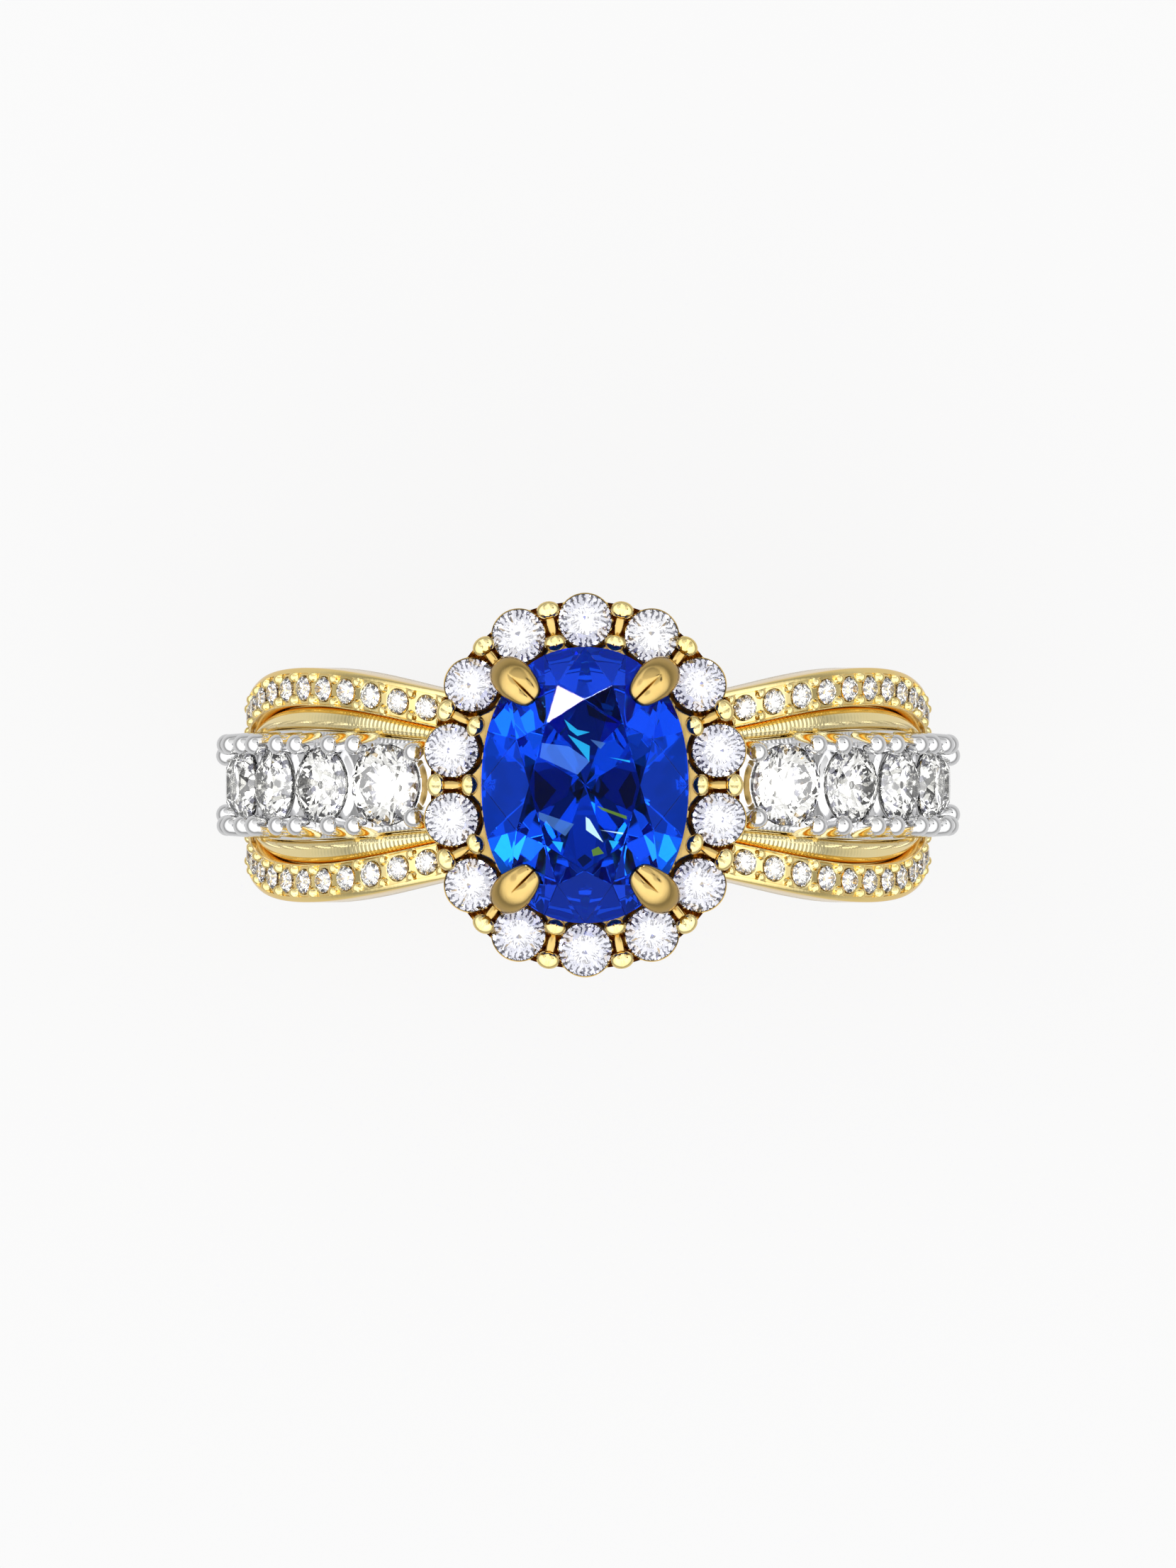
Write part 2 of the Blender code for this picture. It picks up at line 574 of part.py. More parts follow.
def build_post(face, where, foot_cutter):
    """A short post from the gallery to the underside of the halo."""
    bm = bmesh.new()
    foot = Vector((0, face * GALLERY_B, POST_FOOT_Z))
    head = Vector((0, face * POST_HEAD_Y, HALO_LOW - GAP))
    rings = []
    for share in steps(0.0, 1.0, POST_STATIONS):
        middle = foot.lerp(head, share)
        angles = [math.tau * k / POST_SIDES for k in range(POST_SIDES)]
        rings.append([middle + Vector((POST_R * math.cos(t), POST_R * math.sin(t), 0.0)) for t in angles])
    add_loft(bm, rings)
    post = finished(f"gallery_post_{where}", bm, YELLOW_GOLD)
    cut(post, foot_cutter)
    return post


def main():
    clear_scene()
    build_shank()
    for side, side_name in ((-1, "left"), (1, "right")):
        build_channel(side, side_name)
        build_row_stones(side, side_name)
        for face, face_name in ((-1, "front"), (1, "back")):
            where = f"{face_name}_{side_name}"
            build_rail(side, face, where)
            build_wire(side, face, where)
            build_melee(side, face, where)
    foot_cutter = bore_cutter("foot_cutter", GALLERY_TOP_R + GAP)
    notch = centre_seat()
    for side, side_name in ((-1, "left"), (1, "right")):
        for face, face_name in ((-1, "front"), (1, "back")):
            build_claw(side, face, f"{face_name}_{side_name}", foot_cutter, notch)
    for face, face_name in ((-1, "front"), (1, "back")):
        build_post(face, face_name, foot_cutter)
    build_gallery()
    build_basket()
    build_halo()
    build_halo_stones()
    build_centre_stone()


main()
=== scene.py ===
"""Final looks of the two-tone cluster ring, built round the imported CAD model.

The frame is the CAD's: origin at the centre of the finger hole, X across the shoulders, Y along the
finger, Z up through the head. Shapes are worked out in millimetres and written in metres (MM). A place
on the band is given by its side (1 right, -1 left), its angle from +Z, its Y and its distance from the
finger's axis.
"""

import json
from functools import partial
from math import atan2, copysign, cos, exp, hypot, pi, radians, sin, sqrt, tan, tau

import bmesh
import bpy
from mathutils import Matrix, Vector
from mathutils.geometry import delaunay_2d_cdt

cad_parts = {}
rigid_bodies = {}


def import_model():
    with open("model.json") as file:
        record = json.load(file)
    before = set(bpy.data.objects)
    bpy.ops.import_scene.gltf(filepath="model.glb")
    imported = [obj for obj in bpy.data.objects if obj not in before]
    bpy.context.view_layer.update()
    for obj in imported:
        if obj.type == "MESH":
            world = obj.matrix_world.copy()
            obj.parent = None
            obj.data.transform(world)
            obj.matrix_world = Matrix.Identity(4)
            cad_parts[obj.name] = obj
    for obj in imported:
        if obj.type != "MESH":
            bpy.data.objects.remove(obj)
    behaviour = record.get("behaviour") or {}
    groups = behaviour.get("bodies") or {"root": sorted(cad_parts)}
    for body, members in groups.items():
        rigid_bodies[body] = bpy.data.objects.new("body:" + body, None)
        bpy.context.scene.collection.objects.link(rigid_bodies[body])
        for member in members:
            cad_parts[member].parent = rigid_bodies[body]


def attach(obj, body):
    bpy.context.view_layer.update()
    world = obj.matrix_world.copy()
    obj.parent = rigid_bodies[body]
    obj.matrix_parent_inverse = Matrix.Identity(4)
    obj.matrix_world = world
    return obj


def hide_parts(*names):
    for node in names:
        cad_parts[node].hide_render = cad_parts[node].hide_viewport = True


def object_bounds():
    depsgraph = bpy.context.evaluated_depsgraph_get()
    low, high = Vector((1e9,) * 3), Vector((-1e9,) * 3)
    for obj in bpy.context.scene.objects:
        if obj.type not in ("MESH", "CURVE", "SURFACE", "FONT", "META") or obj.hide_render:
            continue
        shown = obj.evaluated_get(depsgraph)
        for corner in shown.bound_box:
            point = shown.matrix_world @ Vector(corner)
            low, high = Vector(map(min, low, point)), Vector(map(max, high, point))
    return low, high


MM = 0.001
GAP = 0.02
UP = Vector((0, 0, 1))
SIDES = ((-1, "left"), (1, "right"))
FACES = ((-1, "front"), (1, "back"))

# Band, as in the CAD model
BORE_R = 8.675
COMFORT = 0.14  # rounding of the finger hole's edges
SHOULDER_START, SHOULDER_END = 23.2, 95.0
SHOULDER_GAP = 0.1  # degrees left for the joint with the shank
SHANK_HALF_WIDTH = ((95.0, 2.16), (104.0, 1.80), (116.0, 1.36), (130.0, 1.15), (140.0, 1.15), (180.0, 1.15))
SHANK_OUTER_R = ((95.0, 9.93), (110.0, 9.98), (130.0, 10.06), (180.0, 10.10))
SHANK_DOME = ((95.0, 0.22), (120.0, 0.42), (180.0, 0.45))

RAIL_CENTRE_Y = (
    (18.0, 1.90), (28.0, 2.24), (40.0, 2.60), (50.0, 2.78), (60.0, 2.80),
    (70.0, 2.64), (80.0, 2.27), (90.0, 1.80), (95.0, 1.56),
)
RAIL_OUTER, RAIL_INNER = 0.60, 0.50
RAIL_TOP_R, RAIL_EDGE, LEDGE_R = 9.93, 0.10, 9.27
RAIL_BEVEL_ACROSS, RAIL_BEVEL_DOWN = 0.02, 0.05
RAIL_BORDER_Y = 0.44  # where the polished borders start, from the rail's middle
BORDER_SWELL, BORDER_WAVES = 0.015, 14
MELEE_R, MELEE_GIRDLE_R, MELEE_SEAT_R = 0.37, 9.86, 9.0
MELEE_FIRST, MELEE_PITCH, MELEE_COUNT = 28.0, 5.75, 11
STONE_PLAY, MELEE_SINK = 0.01, 0.02  # how much wider and lower than its stone a seat is
GRIP_R, GRIP_Y, GRIP_SINK = 0.155, 0.335, 0.05  # the beads between the small stones

WIRE_START, WIRE_END = 22.0, 88.0
WIRE_HIGH, WIRE_POWER = 0.46, 0.6
TEETH, TEETH_R = 6.8, 9.5  # teeth per millimetre of arc at this radius
TOOTH_DEPTH, TOOTH_SLANT = 0.036, 0.10  # share of the wire's height, and lean in millimetres
TEETH_GONE, TEETH_FADE, TEETH_LEAST = 47.0, 7.0, 0.10  # where they have faded, over how far, to what share

CHANNEL_HALF_WIDTH = (
    (22.0, 1.20), (35.0, 1.36), (50.0, 1.56), (65.0, 1.60), (78.0, 1.48), (88.0, 1.20), (95.0, 0.98),
)
CHANNEL_TOP_R, CHANNEL_TOP_HALF, CHANNEL_SEAT_R = 10.25, 1.22, 9.40
ROW_RIM_SINK, ROW_RIM_DROP, ROW_RIM_WIDE = 0.02, 0.14, 0.20
FLANGE_R, FLANGE_EDGE, FLANGE_RISE = 9.78, 0.03, 0.02
HATCH, HATCH_DEPTH, HATCH_R = 6.8, 0.006, 9.7  # fine lines per millimetre of arc at this radius
PAVILION_SLOPE = 0.86  # of the round stones and their seats
ROW_STONES = ((34.6, 1.17), (48.75, 1.10), (62.05, 1.10), (75.35, 1.08), (87.7, 0.90))  # angle, radius
ROW_GAPS = (42.1, 55.4, 68.7, 82.0)
PRONG_R, PRONG_Y, PRONG_APART = 0.305, 1.18, 2.65
PRONG_FIRST, PRONG_LAST = (28.2, 0.95), (92.4, 0.86)  # angle and y of the row's end prongs
PRONG_BEAD_R, PRONG_FOOT_R, PRONG_STEM = 10.57, 9.40, 0.22
PRONG_SPLAY, PRONG_INSET = 0.20, 0.10

# Head, as in the CAD model
HALO_A, HALO_B, HALO_POWER, HALO_COUNT = 3.93, 4.77, 2.25, 14
HALO_STONE_R, HALO_RIM_R, HALO_WEB = 0.775, 0.805, 0.55
HALO_LOW, HALO_TOP, HALO_TAPER = 9.90, 10.78, 0.16
HALO_INNER_A, HALO_INNER_B, HALO_INNER_POWER = 2.88, 3.88, 2.1
HALO_RIM_DROP, HALO_RIM_WIDE = 0.20, 0.10
HALO_EDGE, HALO_FOOT, HALO_LIP, HALO_SETBACK = 0.04, 0.05, 0.10, 0.03  # small steps of its section
HALO_TOP_SINK, HALO_SEAT_SINK = 0.02, 0.01
CLAW_HOLE_X, CLAW_HOLE_Y, CLAW_HOLE_R, HOLE_FLOOR = 2.22, 3.03, 0.42, 0.10
STONE_A, STONE_B, STONE_POWER = 3.0, 4.0, 2.2
TABLE_A, TABLE_B = 1.60, 2.48
CULET_Z, GIRDLE_Z, GIRDLE_THICK, TABLE_Z = 8.96, 11.55, 0.18, 12.78
GALLERY_A, GALLERY_B, GALLERY_POWER = 3.06, 3.00, 6.0
GALLERY_HALF, GALLERY_TOP_R, GALLERY_SECTION = 0.30, 9.45, 0.35
BASKET_A, BASKET_B, BASKET_POWER, BASKET_Z, BASKET_WIRE_R = 2.49, 3.49, 2.4, 10.05, 0.19
POST_R, POST_WAIST, POST_FOOT_Z, POST_HEAD_Y = 0.26, 0.15, 9.48, 4.25

# View
VIEW_HEIGHT = 45.42  # what the frame's height covers at the centre stone's girdle
CAMERA_X, CAMERA_Z = 11.3, 1500.0
VIEW_Y = 0.03  # where the picture's middle is
SENSOR = 36.0

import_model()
cad_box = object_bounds()
scene = bpy.context.scene


# Curves and placing


def smooth_value(knots, at):
    """The value at one position on a smooth curve through (position, value) knots."""
    at = min(max(at, knots[0][0]), knots[-1][0])
    last = len(knots) - 1
    i = max(k for k in range(last) if knots[k][0] <= at)

    def slope(k):
        before, after = knots[max(k - 1, 0)], knots[min(k + 1, last)]
        return (after[1] - before[1]) / (after[0] - before[0])

    (x0, y0), (x1, y1) = knots[i], knots[i + 1]
    span = x1 - x0
    t = (at - x0) / span
    rise = 3 * t**2 - 2 * t**3
    return (
        y0 * (1 - rise)
        + y1 * rise
        + span * (slope(i) * (t**3 - 2 * t**2 + t) + slope(i + 1) * (t**3 - t**2))
    )


def steps(first, last, count):
    """Evenly spaced values, with both ends."""
    return [first + (last - first) * i / (count - 1) for i in range(count)]


def circle(count):
    """The turns of a circle's points."""
    return [tau * i / count for i in range(count)]


def heading(turn):
    """The level direction at a turn from +X."""
    return Vector((cos(turn), sin(turn), 0.0))


def on_band(side, angle, y, radius):
    """A point of the band from its side, its angle in degrees from +Z, its Y and its radius."""
    turn = radians(angle)
    return Vector((side * radius * sin(turn), y, radius * cos(turn)))


def superellipse(a, b, power, turn):
    """The point of a superellipse that lies in one direction from its middle."""
    c, s = cos(turn), sin(turn)
    reach = (abs(c / a) ** power + abs(s / b) ** power) ** (-1 / power)
    return Vector((reach * c, reach * s, 0.0))


def evenly_round(a, b, power, count, offset=0.0):
    """Points a count-th of the superellipse's length apart, from its +Y end; offset is in spaces."""
    fine = 1440
    points = [superellipse(a, b, power, pi / 2 - tau * i / fine) for i in range(fine + 1)]
    run = [0.0]
    for before, after in zip(points, points[1:]):
        run.append(run[-1] + (after - before).length)
    found = []
    for k in range(count):
        want = ((k + offset) % count) * run[-1] / count
        i = next(j for j in range(1, fine + 1) if run[j] >= want)
        share = (want - run[i - 1]) / (run[i] - run[i - 1])
        found.append(points[i - 1].lerp(points[i], share))
    return found


def axis_place(point, up, ahead=Vector((0, 1, 0))):
    """A matrix that stands a solid on a point with its Z axis along up and its Y axis near ahead."""
    z = up.normalized()
    x = ahead.cross(z).normalized()
    y = z.cross(x)
    turned = Matrix((x, y, z)).transposed().to_4x4()
    return Matrix.Translation(point) @ turned


def finished(name, bm, material, replaces=(), smooth=35.0):
    """Turns a bmesh in millimetres into a piece of the ring; smooth is the sharpest smooth angle."""
    bmesh.ops.recalc_face_normals(bm, faces=bm.faces)
    bmesh.ops.scale(bm, vec=(MM, MM, MM), verts=bm.verts)
    mesh = bpy.data.meshes.new(name)
    bm.to_mesh(mesh)
    bm.free()
    if smooth:
        mesh.shade_smooth()
        mesh.set_sharp_from_angle(angle=radians(smooth))
    obj = bpy.data.objects.new(name, mesh)
    scene.collection.objects.link(obj)
    if material:
        mesh.materials.append(material)
        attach(obj, "root")
        if replaces:
            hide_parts(*replaces)
    return obj


def add_loft(bm, rings, closed=False):
    """Joins rings of points into a skin, with a cap on each end unless it closes on itself."""
    made = [[bm.verts.new(p) for p in ring] for ring in rings]
    pairs = list(zip(made, made[1:]))
    if closed:
        pairs.append((made[-1], made[0]))
    for before, after in pairs:
        for i in range(len(before)):
            j = (i + 1) % len(before)
            bm.faces.new((before[i], before[j], after[j], after[i]))
    if not closed:
        bm.faces.new(made[0])
        bm.faces.new(made[-1])


def lofted(name, rings, material, replaces=(), closed=False, smooth=35.0):
    """A piece made as one skin over rings of points."""
    bm = bmesh.new()
    add_loft(bm, rings, closed)
    finished(name, bm, material, replaces, smooth)


def add_pin(bm, place, length, radius, stem):
    """Adds a ball-topped pin: its ball has its centre at the place, and its foot is a length below."""
    profile = [(stem, -length), (0.5 * (stem + radius), -length / 2)]
    last = 0.97 * pi / 2  # just short of the ball's top
    profile += [(radius * cos(t), radius * sin(t)) for t in steps(0.0, last, 8)]
    turns = circle(24)
    add_loft(bm, [[place @ Vector((r * cos(t), r * sin(t), z)) for t in turns] for r, z in profile])


# Materials


def new_material(name):
    """A material, its node tree and its shader."""
    made = bpy.data.materials.new(name)
    made.use_nodes = True
    return made, made.node_tree, made.node_tree.nodes["Principled BSDF"]


def set_sockets(node, values):
    """Sets a node's input sockets by name."""
    for name, value in values.items():
        node.inputs[name].default_value = value


def scaled_noise(tree, scale, detail=3.0, stretch=(1.0, 1.0, 1.0)):
    """A noise texture with features about 1/scale of a metre wide."""
    where = tree.nodes.new("ShaderNodeTexCoord")
    mapping = tree.nodes.new("ShaderNodeMapping")
    mapping.inputs["Scale"].default_value = stretch
    noise = tree.nodes.new("ShaderNodeTexNoise")
    set_sockets(noise, {"Scale": scale, "Detail": detail})
    tree.links.new(where.outputs["Object"], mapping.inputs["Vector"])
    tree.links.new(mapping.outputs["Vector"], noise.inputs["Vector"])
    return noise


def ramp(tree, source, stops):
    """A colour ramp over (position, colour) stops."""
    made = tree.nodes.new("ShaderNodeValToRGB")
    made.color_ramp.elements[0].position, made.color_ramp.elements[0].color = stops[0]
    made.color_ramp.elements[1].position, made.color_ramp.elements[1].color = stops[-1]
    for position, colour in stops[1:-1]:
        made.color_ramp.elements.new(position).color = colour
    tree.links.new(source, made.inputs["Fac"])
    return made


def feed(tree, socket, value):
    """Links a socket to another node's output, or sets it to a value."""
    if isinstance(value, bpy.types.NodeSocket):
        tree.links.new(value, socket)
    else:
        socket.default_value = value


def math_node(tree, operation, *values):
    """A maths node fed with numbers or other nodes' outputs."""
    made = tree.nodes.new("ShaderNodeMath")
    made.operation = operation
    for socket, value in zip(made.inputs, values):
        feed(tree, socket, value)
    return made.outputs["Value"]


def mixed(tree, share, low, high, kind="RGBA"):
    """Low turning into high as the share grows."""
    made = tree.nodes.new("ShaderNodeMix")
    made.data_type = kind
    for name, value in (("Factor", share), ("A", low), ("B", high)):
        feed(tree, made.inputs[name], value)
    return made.outputs["Result"]


def mapped(tree, source, from_range=(0.0, 1.0), to_range=(0.0, 1.0), interpolation="LINEAR"):
    """A value moved from one range to another, and held inside it."""
    made = tree.nodes.new("ShaderNodeMapRange")
    made.interpolation_type = interpolation
    names = ("From Min", "From Max", "To Min", "To Max")
    set_sockets(made, dict(zip(names, (*from_range, *to_range))))
    tree.links.new(source, made.inputs["Value"])
    return made.outputs["Result"]


MOTTLING, POLISH, MARKS, ZONING = 900.0, 2600.0, 9000.0, 350.0  # fineness of the textures, per metre
MARK_STRETCH = (1.0, 0.25, 1.0)
MARK_STRENGTH, MARK_DEPTH = 0.15, 0.00002
# Painted shade: the steep sides of every metal get the deeper tone.
STEEP, LEVEL = 0.25, 0.85  # upward parts of the normal where the deep tone ends and the light one is full


def metal(name, low, high, deep, rough_low, rough_high):
    """A precious metal: slight mottling, painted shade as a deeper tone on steep sides, uneven polish and
    polishing marks.
    """
    made, tree, shader = new_material(name)
    shader.inputs["Metallic"].default_value = 1.0
    tone = scaled_noise(tree, MOTTLING)
    colour = ramp(tree, tone.outputs["Fac"], ((0.35, (*low, 1)), (0.65, (*high, 1))))
    # Painted shade: the colour turns to the deep tone where the surface faces away from up.
    faced = tree.nodes.new("ShaderNodeSeparateXYZ")
    tree.links.new(tree.nodes.new("ShaderNodeTexCoord").outputs["Normal"], faced.inputs["Vector"])
    level = mapped(tree, faced.outputs["Z"], (STEEP, LEVEL))
    steep_shaded = mixed(tree, level, (*deep, 1), colour.outputs["Color"])
    tree.links.new(steep_shaded, shader.inputs["Base Color"])
    polish = scaled_noise(tree, POLISH, 5.0)
    rough = mapped(tree, polish.outputs["Fac"], to_range=(rough_low, rough_high))
    tree.links.new(rough, shader.inputs["Roughness"])
    marks = scaled_noise(tree, MARKS, 4.0, MARK_STRETCH)
    relief = tree.nodes.new("ShaderNodeBump")
    set_sockets(relief, {"Strength": MARK_STRENGTH, "Distance": MARK_DEPTH})
    tree.links.new(marks.outputs["Fac"], relief.inputs["Height"])
    tree.links.new(relief.outputs["Normal"], shader.inputs["Normal"])
    return made


# Painted dark reflections on the diamonds: dark dash marks painted round each stone's edge.
DASH_WOBBLE, DASH_START_SPREAD = 4.2, 0.5  # fineness of the unevenness, and what it does to a dash's start
DASH_FADE, DASH_WAVE = 0.07, (0.20, 0.55)  # softness of a dash's start and of its sides
PAINTED_DASH_TONE = (0.02, 0.02, 0.035, 1)


def painted_edge_dashes(tree, count, inner, unevenness):
    """How dark a round stone is painted at each place: short dark dash marks round its edge, painted
    reflections of the darkness that its steep facets show.
    """
    local = tree.nodes.new("ShaderNodeAttribute")
    local.attribute_name = "cut_place"
    noise = tree.nodes.new("ShaderNodeTexNoise")
    noise.inputs["Scale"].default_value = DASH_WOBBLE
    tree.links.new(local.outputs["Vector"], noise.inputs["Vector"])
    wobble = noise.outputs["Fac"]
    parts = tree.nodes.new("ShaderNodeSeparateXYZ")
    tree.links.new(local.outputs["Vector"], parts.inputs["Vector"])

    maths = partial(math_node, tree)
    across, along = parts.outputs["X"], parts.outputs["Y"]
    turns = maths("MULTIPLY", maths("ARCTAN2", along, across), count)
    wave = maths("COSINE", maths("ADD", turns, maths("MULTIPLY", wobble, unevenness)))
    reach = maths("SQRT", maths("ADD", maths("MULTIPLY", across, across), maths("MULTIPLY", along, along)))
    start = maths("MULTIPLY_ADD", wobble, DASH_START_SPREAD, inner - DASH_START_SPREAD / 2)
    edge = mapped(tree, maths("SUBTRACT", reach, start), (0.0, DASH_FADE))
    return maths("MULTIPLY", edge, mapped(tree, wave, DASH_WAVE))


DIAMOND_IOR, SAPPHIRE_IOR = 2.417, 1.77


def gem(name, low, high, ior, mirror=(1.0, 1.0, 1.0), painted_dashes=None, clear=1.0):
    """A stone with faint colour zoning; mirror tints its reflections, clear is its transparency.

    The painted dark dash marks, painted reflections round the stone's edge, are given by their count, how far
    from the middle they start and their unevenness.
    """
    made, tree, shader = new_material(name)
    set_sockets(shader, {"Transmission Weight": clear, "Roughness": 0.0, "IOR": ior})
    shader.inputs["Specular Tint"].default_value = (*mirror, 1)
    zones = scaled_noise(tree, ZONING, 2.0)
    tones = ((0.3, (*low, 1)), (0.7, (*high, 1)))
    colour = ramp(tree, zones.outputs["Fac"], tones).outputs["Color"]
    # Painted dark reflections mixed into the stone's colour.
    if painted_dashes:
        colour = mixed(tree, painted_edge_dashes(tree, *painted_dashes), colour, PAINTED_DASH_TONE)
    tree.links.new(colour, shader.inputs["Base Color"])
    return made


YELLOW = metal("yellow_gold_polished", (0.97, 0.78, 0.33), (1.0, 0.85, 0.43), (0.90, 0.62, 0.19), 0.07, 0.16)
# Claws and bridges: real satin roughness on a darker copy of the gold, whose darkness is painted shade.
SATIN_SHADED_GOLD = metal("satin_gold_claws_painted_shade", (0.57, 0.395, 0.13), (0.67, 0.475, 0.175), (0.44, 0.28, 0.08), 0.13, 0.20)
# The wires' gold is a paler copy of the yellow gold: painted light.
PALE_PAINTED_LIGHT_GOLD = metal("yellow_gold_wires_painted_light", (1.0, 0.86, 0.45), (1.0, 0.90, 0.53), (1.0, 0.80, 0.37), 0.07, 0.16)
# The halo plate's gold is a darker copy of the yellow gold: painted shade in its hollows.
RECESS_PAINTED_SHADE_GOLD = metal("yellow_gold_recess_painted_shade", (0.46, 0.32, 0.105), (0.56, 0.39, 0.145), (0.46, 0.31, 0.10), 0.16, 0.26)
WHITE = metal("white_gold_rhodium", (0.79, 0.79, 0.80), (0.85, 0.85, 0.85), (0.76, 0.76, 0.77), 0.05, 0.12)
ICY, ICY_PALE = (0.82, 0.83, 0.98), (0.94, 0.94, 0.98)
WARM, WARM_PALE = (0.97, 0.96, 0.91), (1.0, 1.0, 0.97)
DIAMOND_COOL = gem("diamond_icy", ICY, ICY_PALE, DIAMOND_IOR, painted_dashes=(22, 0.64, 12.0))
DIAMOND_WHITE = gem("diamond_white", WARM, WARM_PALE, DIAMOND_IOR, painted_dashes=(13, 0.80, 6.0))
DIAMOND_SMALL = gem("diamond_small", WARM, WARM_PALE, DIAMOND_IOR, painted_dashes=(9, 0.68, 6.0))
SAPPHIRE_GLOSS = (0.03, 0.03, 0.05)


def sapphire(name, colour, clear=1.0):
    """One tone of the sapphire; apart from the plain royal blue, its tones are painted light, shade and
    reflections, and the less clear ones stand for facets that throw back light inside it.
    """
    zone_depth = 0.85
    low = [zone_depth * part for part in colour]
    return gem(f"sapphire_{name}", low, colour, SAPPHIRE_IOR, SAPPHIRE_GLOSS, clear=clear)


SAPPHIRE = sapphire("royal_blue", (0.003, 0.070, 0.92))
# Painted tones: a darker table (painted shade), lighter sides and corners (painted light), violet caps
# (painted reflection) and a near-black facet (painted shade).
SAPPHIRE_TABLE_SHADE = sapphire("table_painted_shade", (0.0005, 0.032, 0.68), 0.98)
SAPPHIRE_SIDE_LIGHT = sapphire("side_painted_light", (0.004, 0.080, 0.95), 0.66)
SAPPHIRE_CAP_REFLECTION = sapphire("violet_cap_painted_reflection", (0.012, 0.072, 0.78), 0.74)
SAPPHIRE_CORNER_LIGHT = sapphire("corner_painted_light", (0.004, 0.150, 1.0), 0.60)
SAPPHIRE_PAINTED_DARK = sapphire("night_painted_shade", (0.0, 0.004, 0.035), 0.9)
# Painted reflections: flat patches on the table in these tones, night being a painted dark reflection.
GLINTS = {
    "pale": sapphire("glint_pale", (0.070, 0.210, 0.85), 0.35),
    "cyan": sapphire("glint_cyan", (0.020, 0.480, 0.95), 0.25),
    "grey": sapphire("glint_grey", (0.060, 0.170, 0.52), 0.35),
    "white": sapphire("glint_white", (0.55, 0.85, 1.0), 0.10),
    "green": sapphire("glint_green", (0.13, 0.26, 0.030), 0.30),
    "night": SAPPHIRE_PAINTED_DARK,
}


# Stones


CUT_SLACK, MERGE = 0.00002, 0.0005  # how close to a facet plane a corner counts as on it, and edges to drop


def cut_stone(outline, table, top, girdle_high, girdle_low, culet, star=0.5, lower=0.77, sides=64):
    """A brilliant cut, the solid inside its facet planes; outline and table give a point at each turn.

    Star and lower are how far the star facets and the lower girdle facets reach, as shares.
    """
    step = tau / 16
    bm = bmesh.new()

    def at(turn, z):
        return outline(turn) + UP * z

    add_loft(bm, [[at(turn, z) for turn in circle(sides)] for z in (culet, top)])

    def main_plane(i, end, z):
        """The plane through a point of the girdle and an end, level along the girdle."""
        turn, little = 2 * i * step, 0.001
        rim = at(turn, z)
        along = at(turn + little, z) - at(turn - little, z)
        return rim, (rim - end).cross(along).normalized()

    def meet(first, second, height):
        """The point at one height where two planes meet."""
        (p, n), (q, m) = first, second
        direction = n.cross(m)
        return (p.dot(n) * m.cross(UP) + q.dot(m) * UP.cross(n) + height * direction) / direction.z

    planes = []
    corners = [table(2 * i * step) + UP * top for i in range(8)]
    for high in (True, False):
        z = girdle_high if high else girdle_low
        ends = corners if high else [Vector((0, 0, culet))] * 8
        mains = [main_plane(i, ends[i], z) for i in range(8)]
        share = star if high else lower
        for i in range(8):
            j = (i + 1) % 8
            between = top + (z - top) * share if high else z + (culet - z) * share
            node = meet(mains[i], mains[j], between)
            if high:
                planes.append((corners[i], (corners[j] - corners[i]).cross(node - corners[i])))
            planes.append(mains[i])
            rim_mid = at((2 * i + 1) * step, z)
            for rim in (at(2 * i * step, z), at(2 * (i + 1) * step, z)):
                planes.append((rim_mid, (rim - rim_mid).cross(node - rim_mid)))
    heart = Vector((0, 0, (girdle_high + girdle_low) / 2))
    for point, normal in planes:
        normal = normal.normalized()
        if normal.dot(point - heart) < 0:
            normal = -normal
        whole = bm.verts[:] + bm.edges[:] + bm.faces[:]
        cut = bmesh.ops.bisect_plane(
            bm, geom=whole, dist=CUT_SLACK, plane_co=point, plane_no=normal, clear_outer=True
        )
        edges = [e for e in cut["geom_cut"] if isinstance(e, bmesh.types.BMEdge) and e.is_boundary]
        if edges:
            bmesh.ops.contextual_create(bm, geom=edges)
    bmesh.ops.dissolve_degenerate(bm, edges=bm.edges, dist=MERGE)
    return bm


def round_cut(sides):
    """A round brilliant of radius 1, with the bottom of its girdle at height 0."""
    girdle, crown, table = 0.05, 0.30, 0.57
    return cut_stone(
        heading,
        lambda t: Vector((table * cos(t), table * sin(t), 0)),
        girdle + crown, girdle, 0.0, -PAVILION_SLOPE, sides=sides,
    )


def place_stone(name, cut, place, radius, spin, replaces=(), material=DIAMOND_WHITE):
    """A copy of a cut stone of radius 1, resized, spun by some degrees and set in its place."""
    bm = cut.copy()
    local = bm.verts.layers.float_vector.new("cut_place")
    for vert in bm.verts:
        vert[local] = vert.co
    turned = place @ Matrix.Rotation(radians(spin), 4, "Z") @ Matrix.Scale(radius, 4)
    bmesh.ops.transform(bm, matrix=turned, verts=bm.verts)
    finished(name, bm, material, replaces, smooth=None)
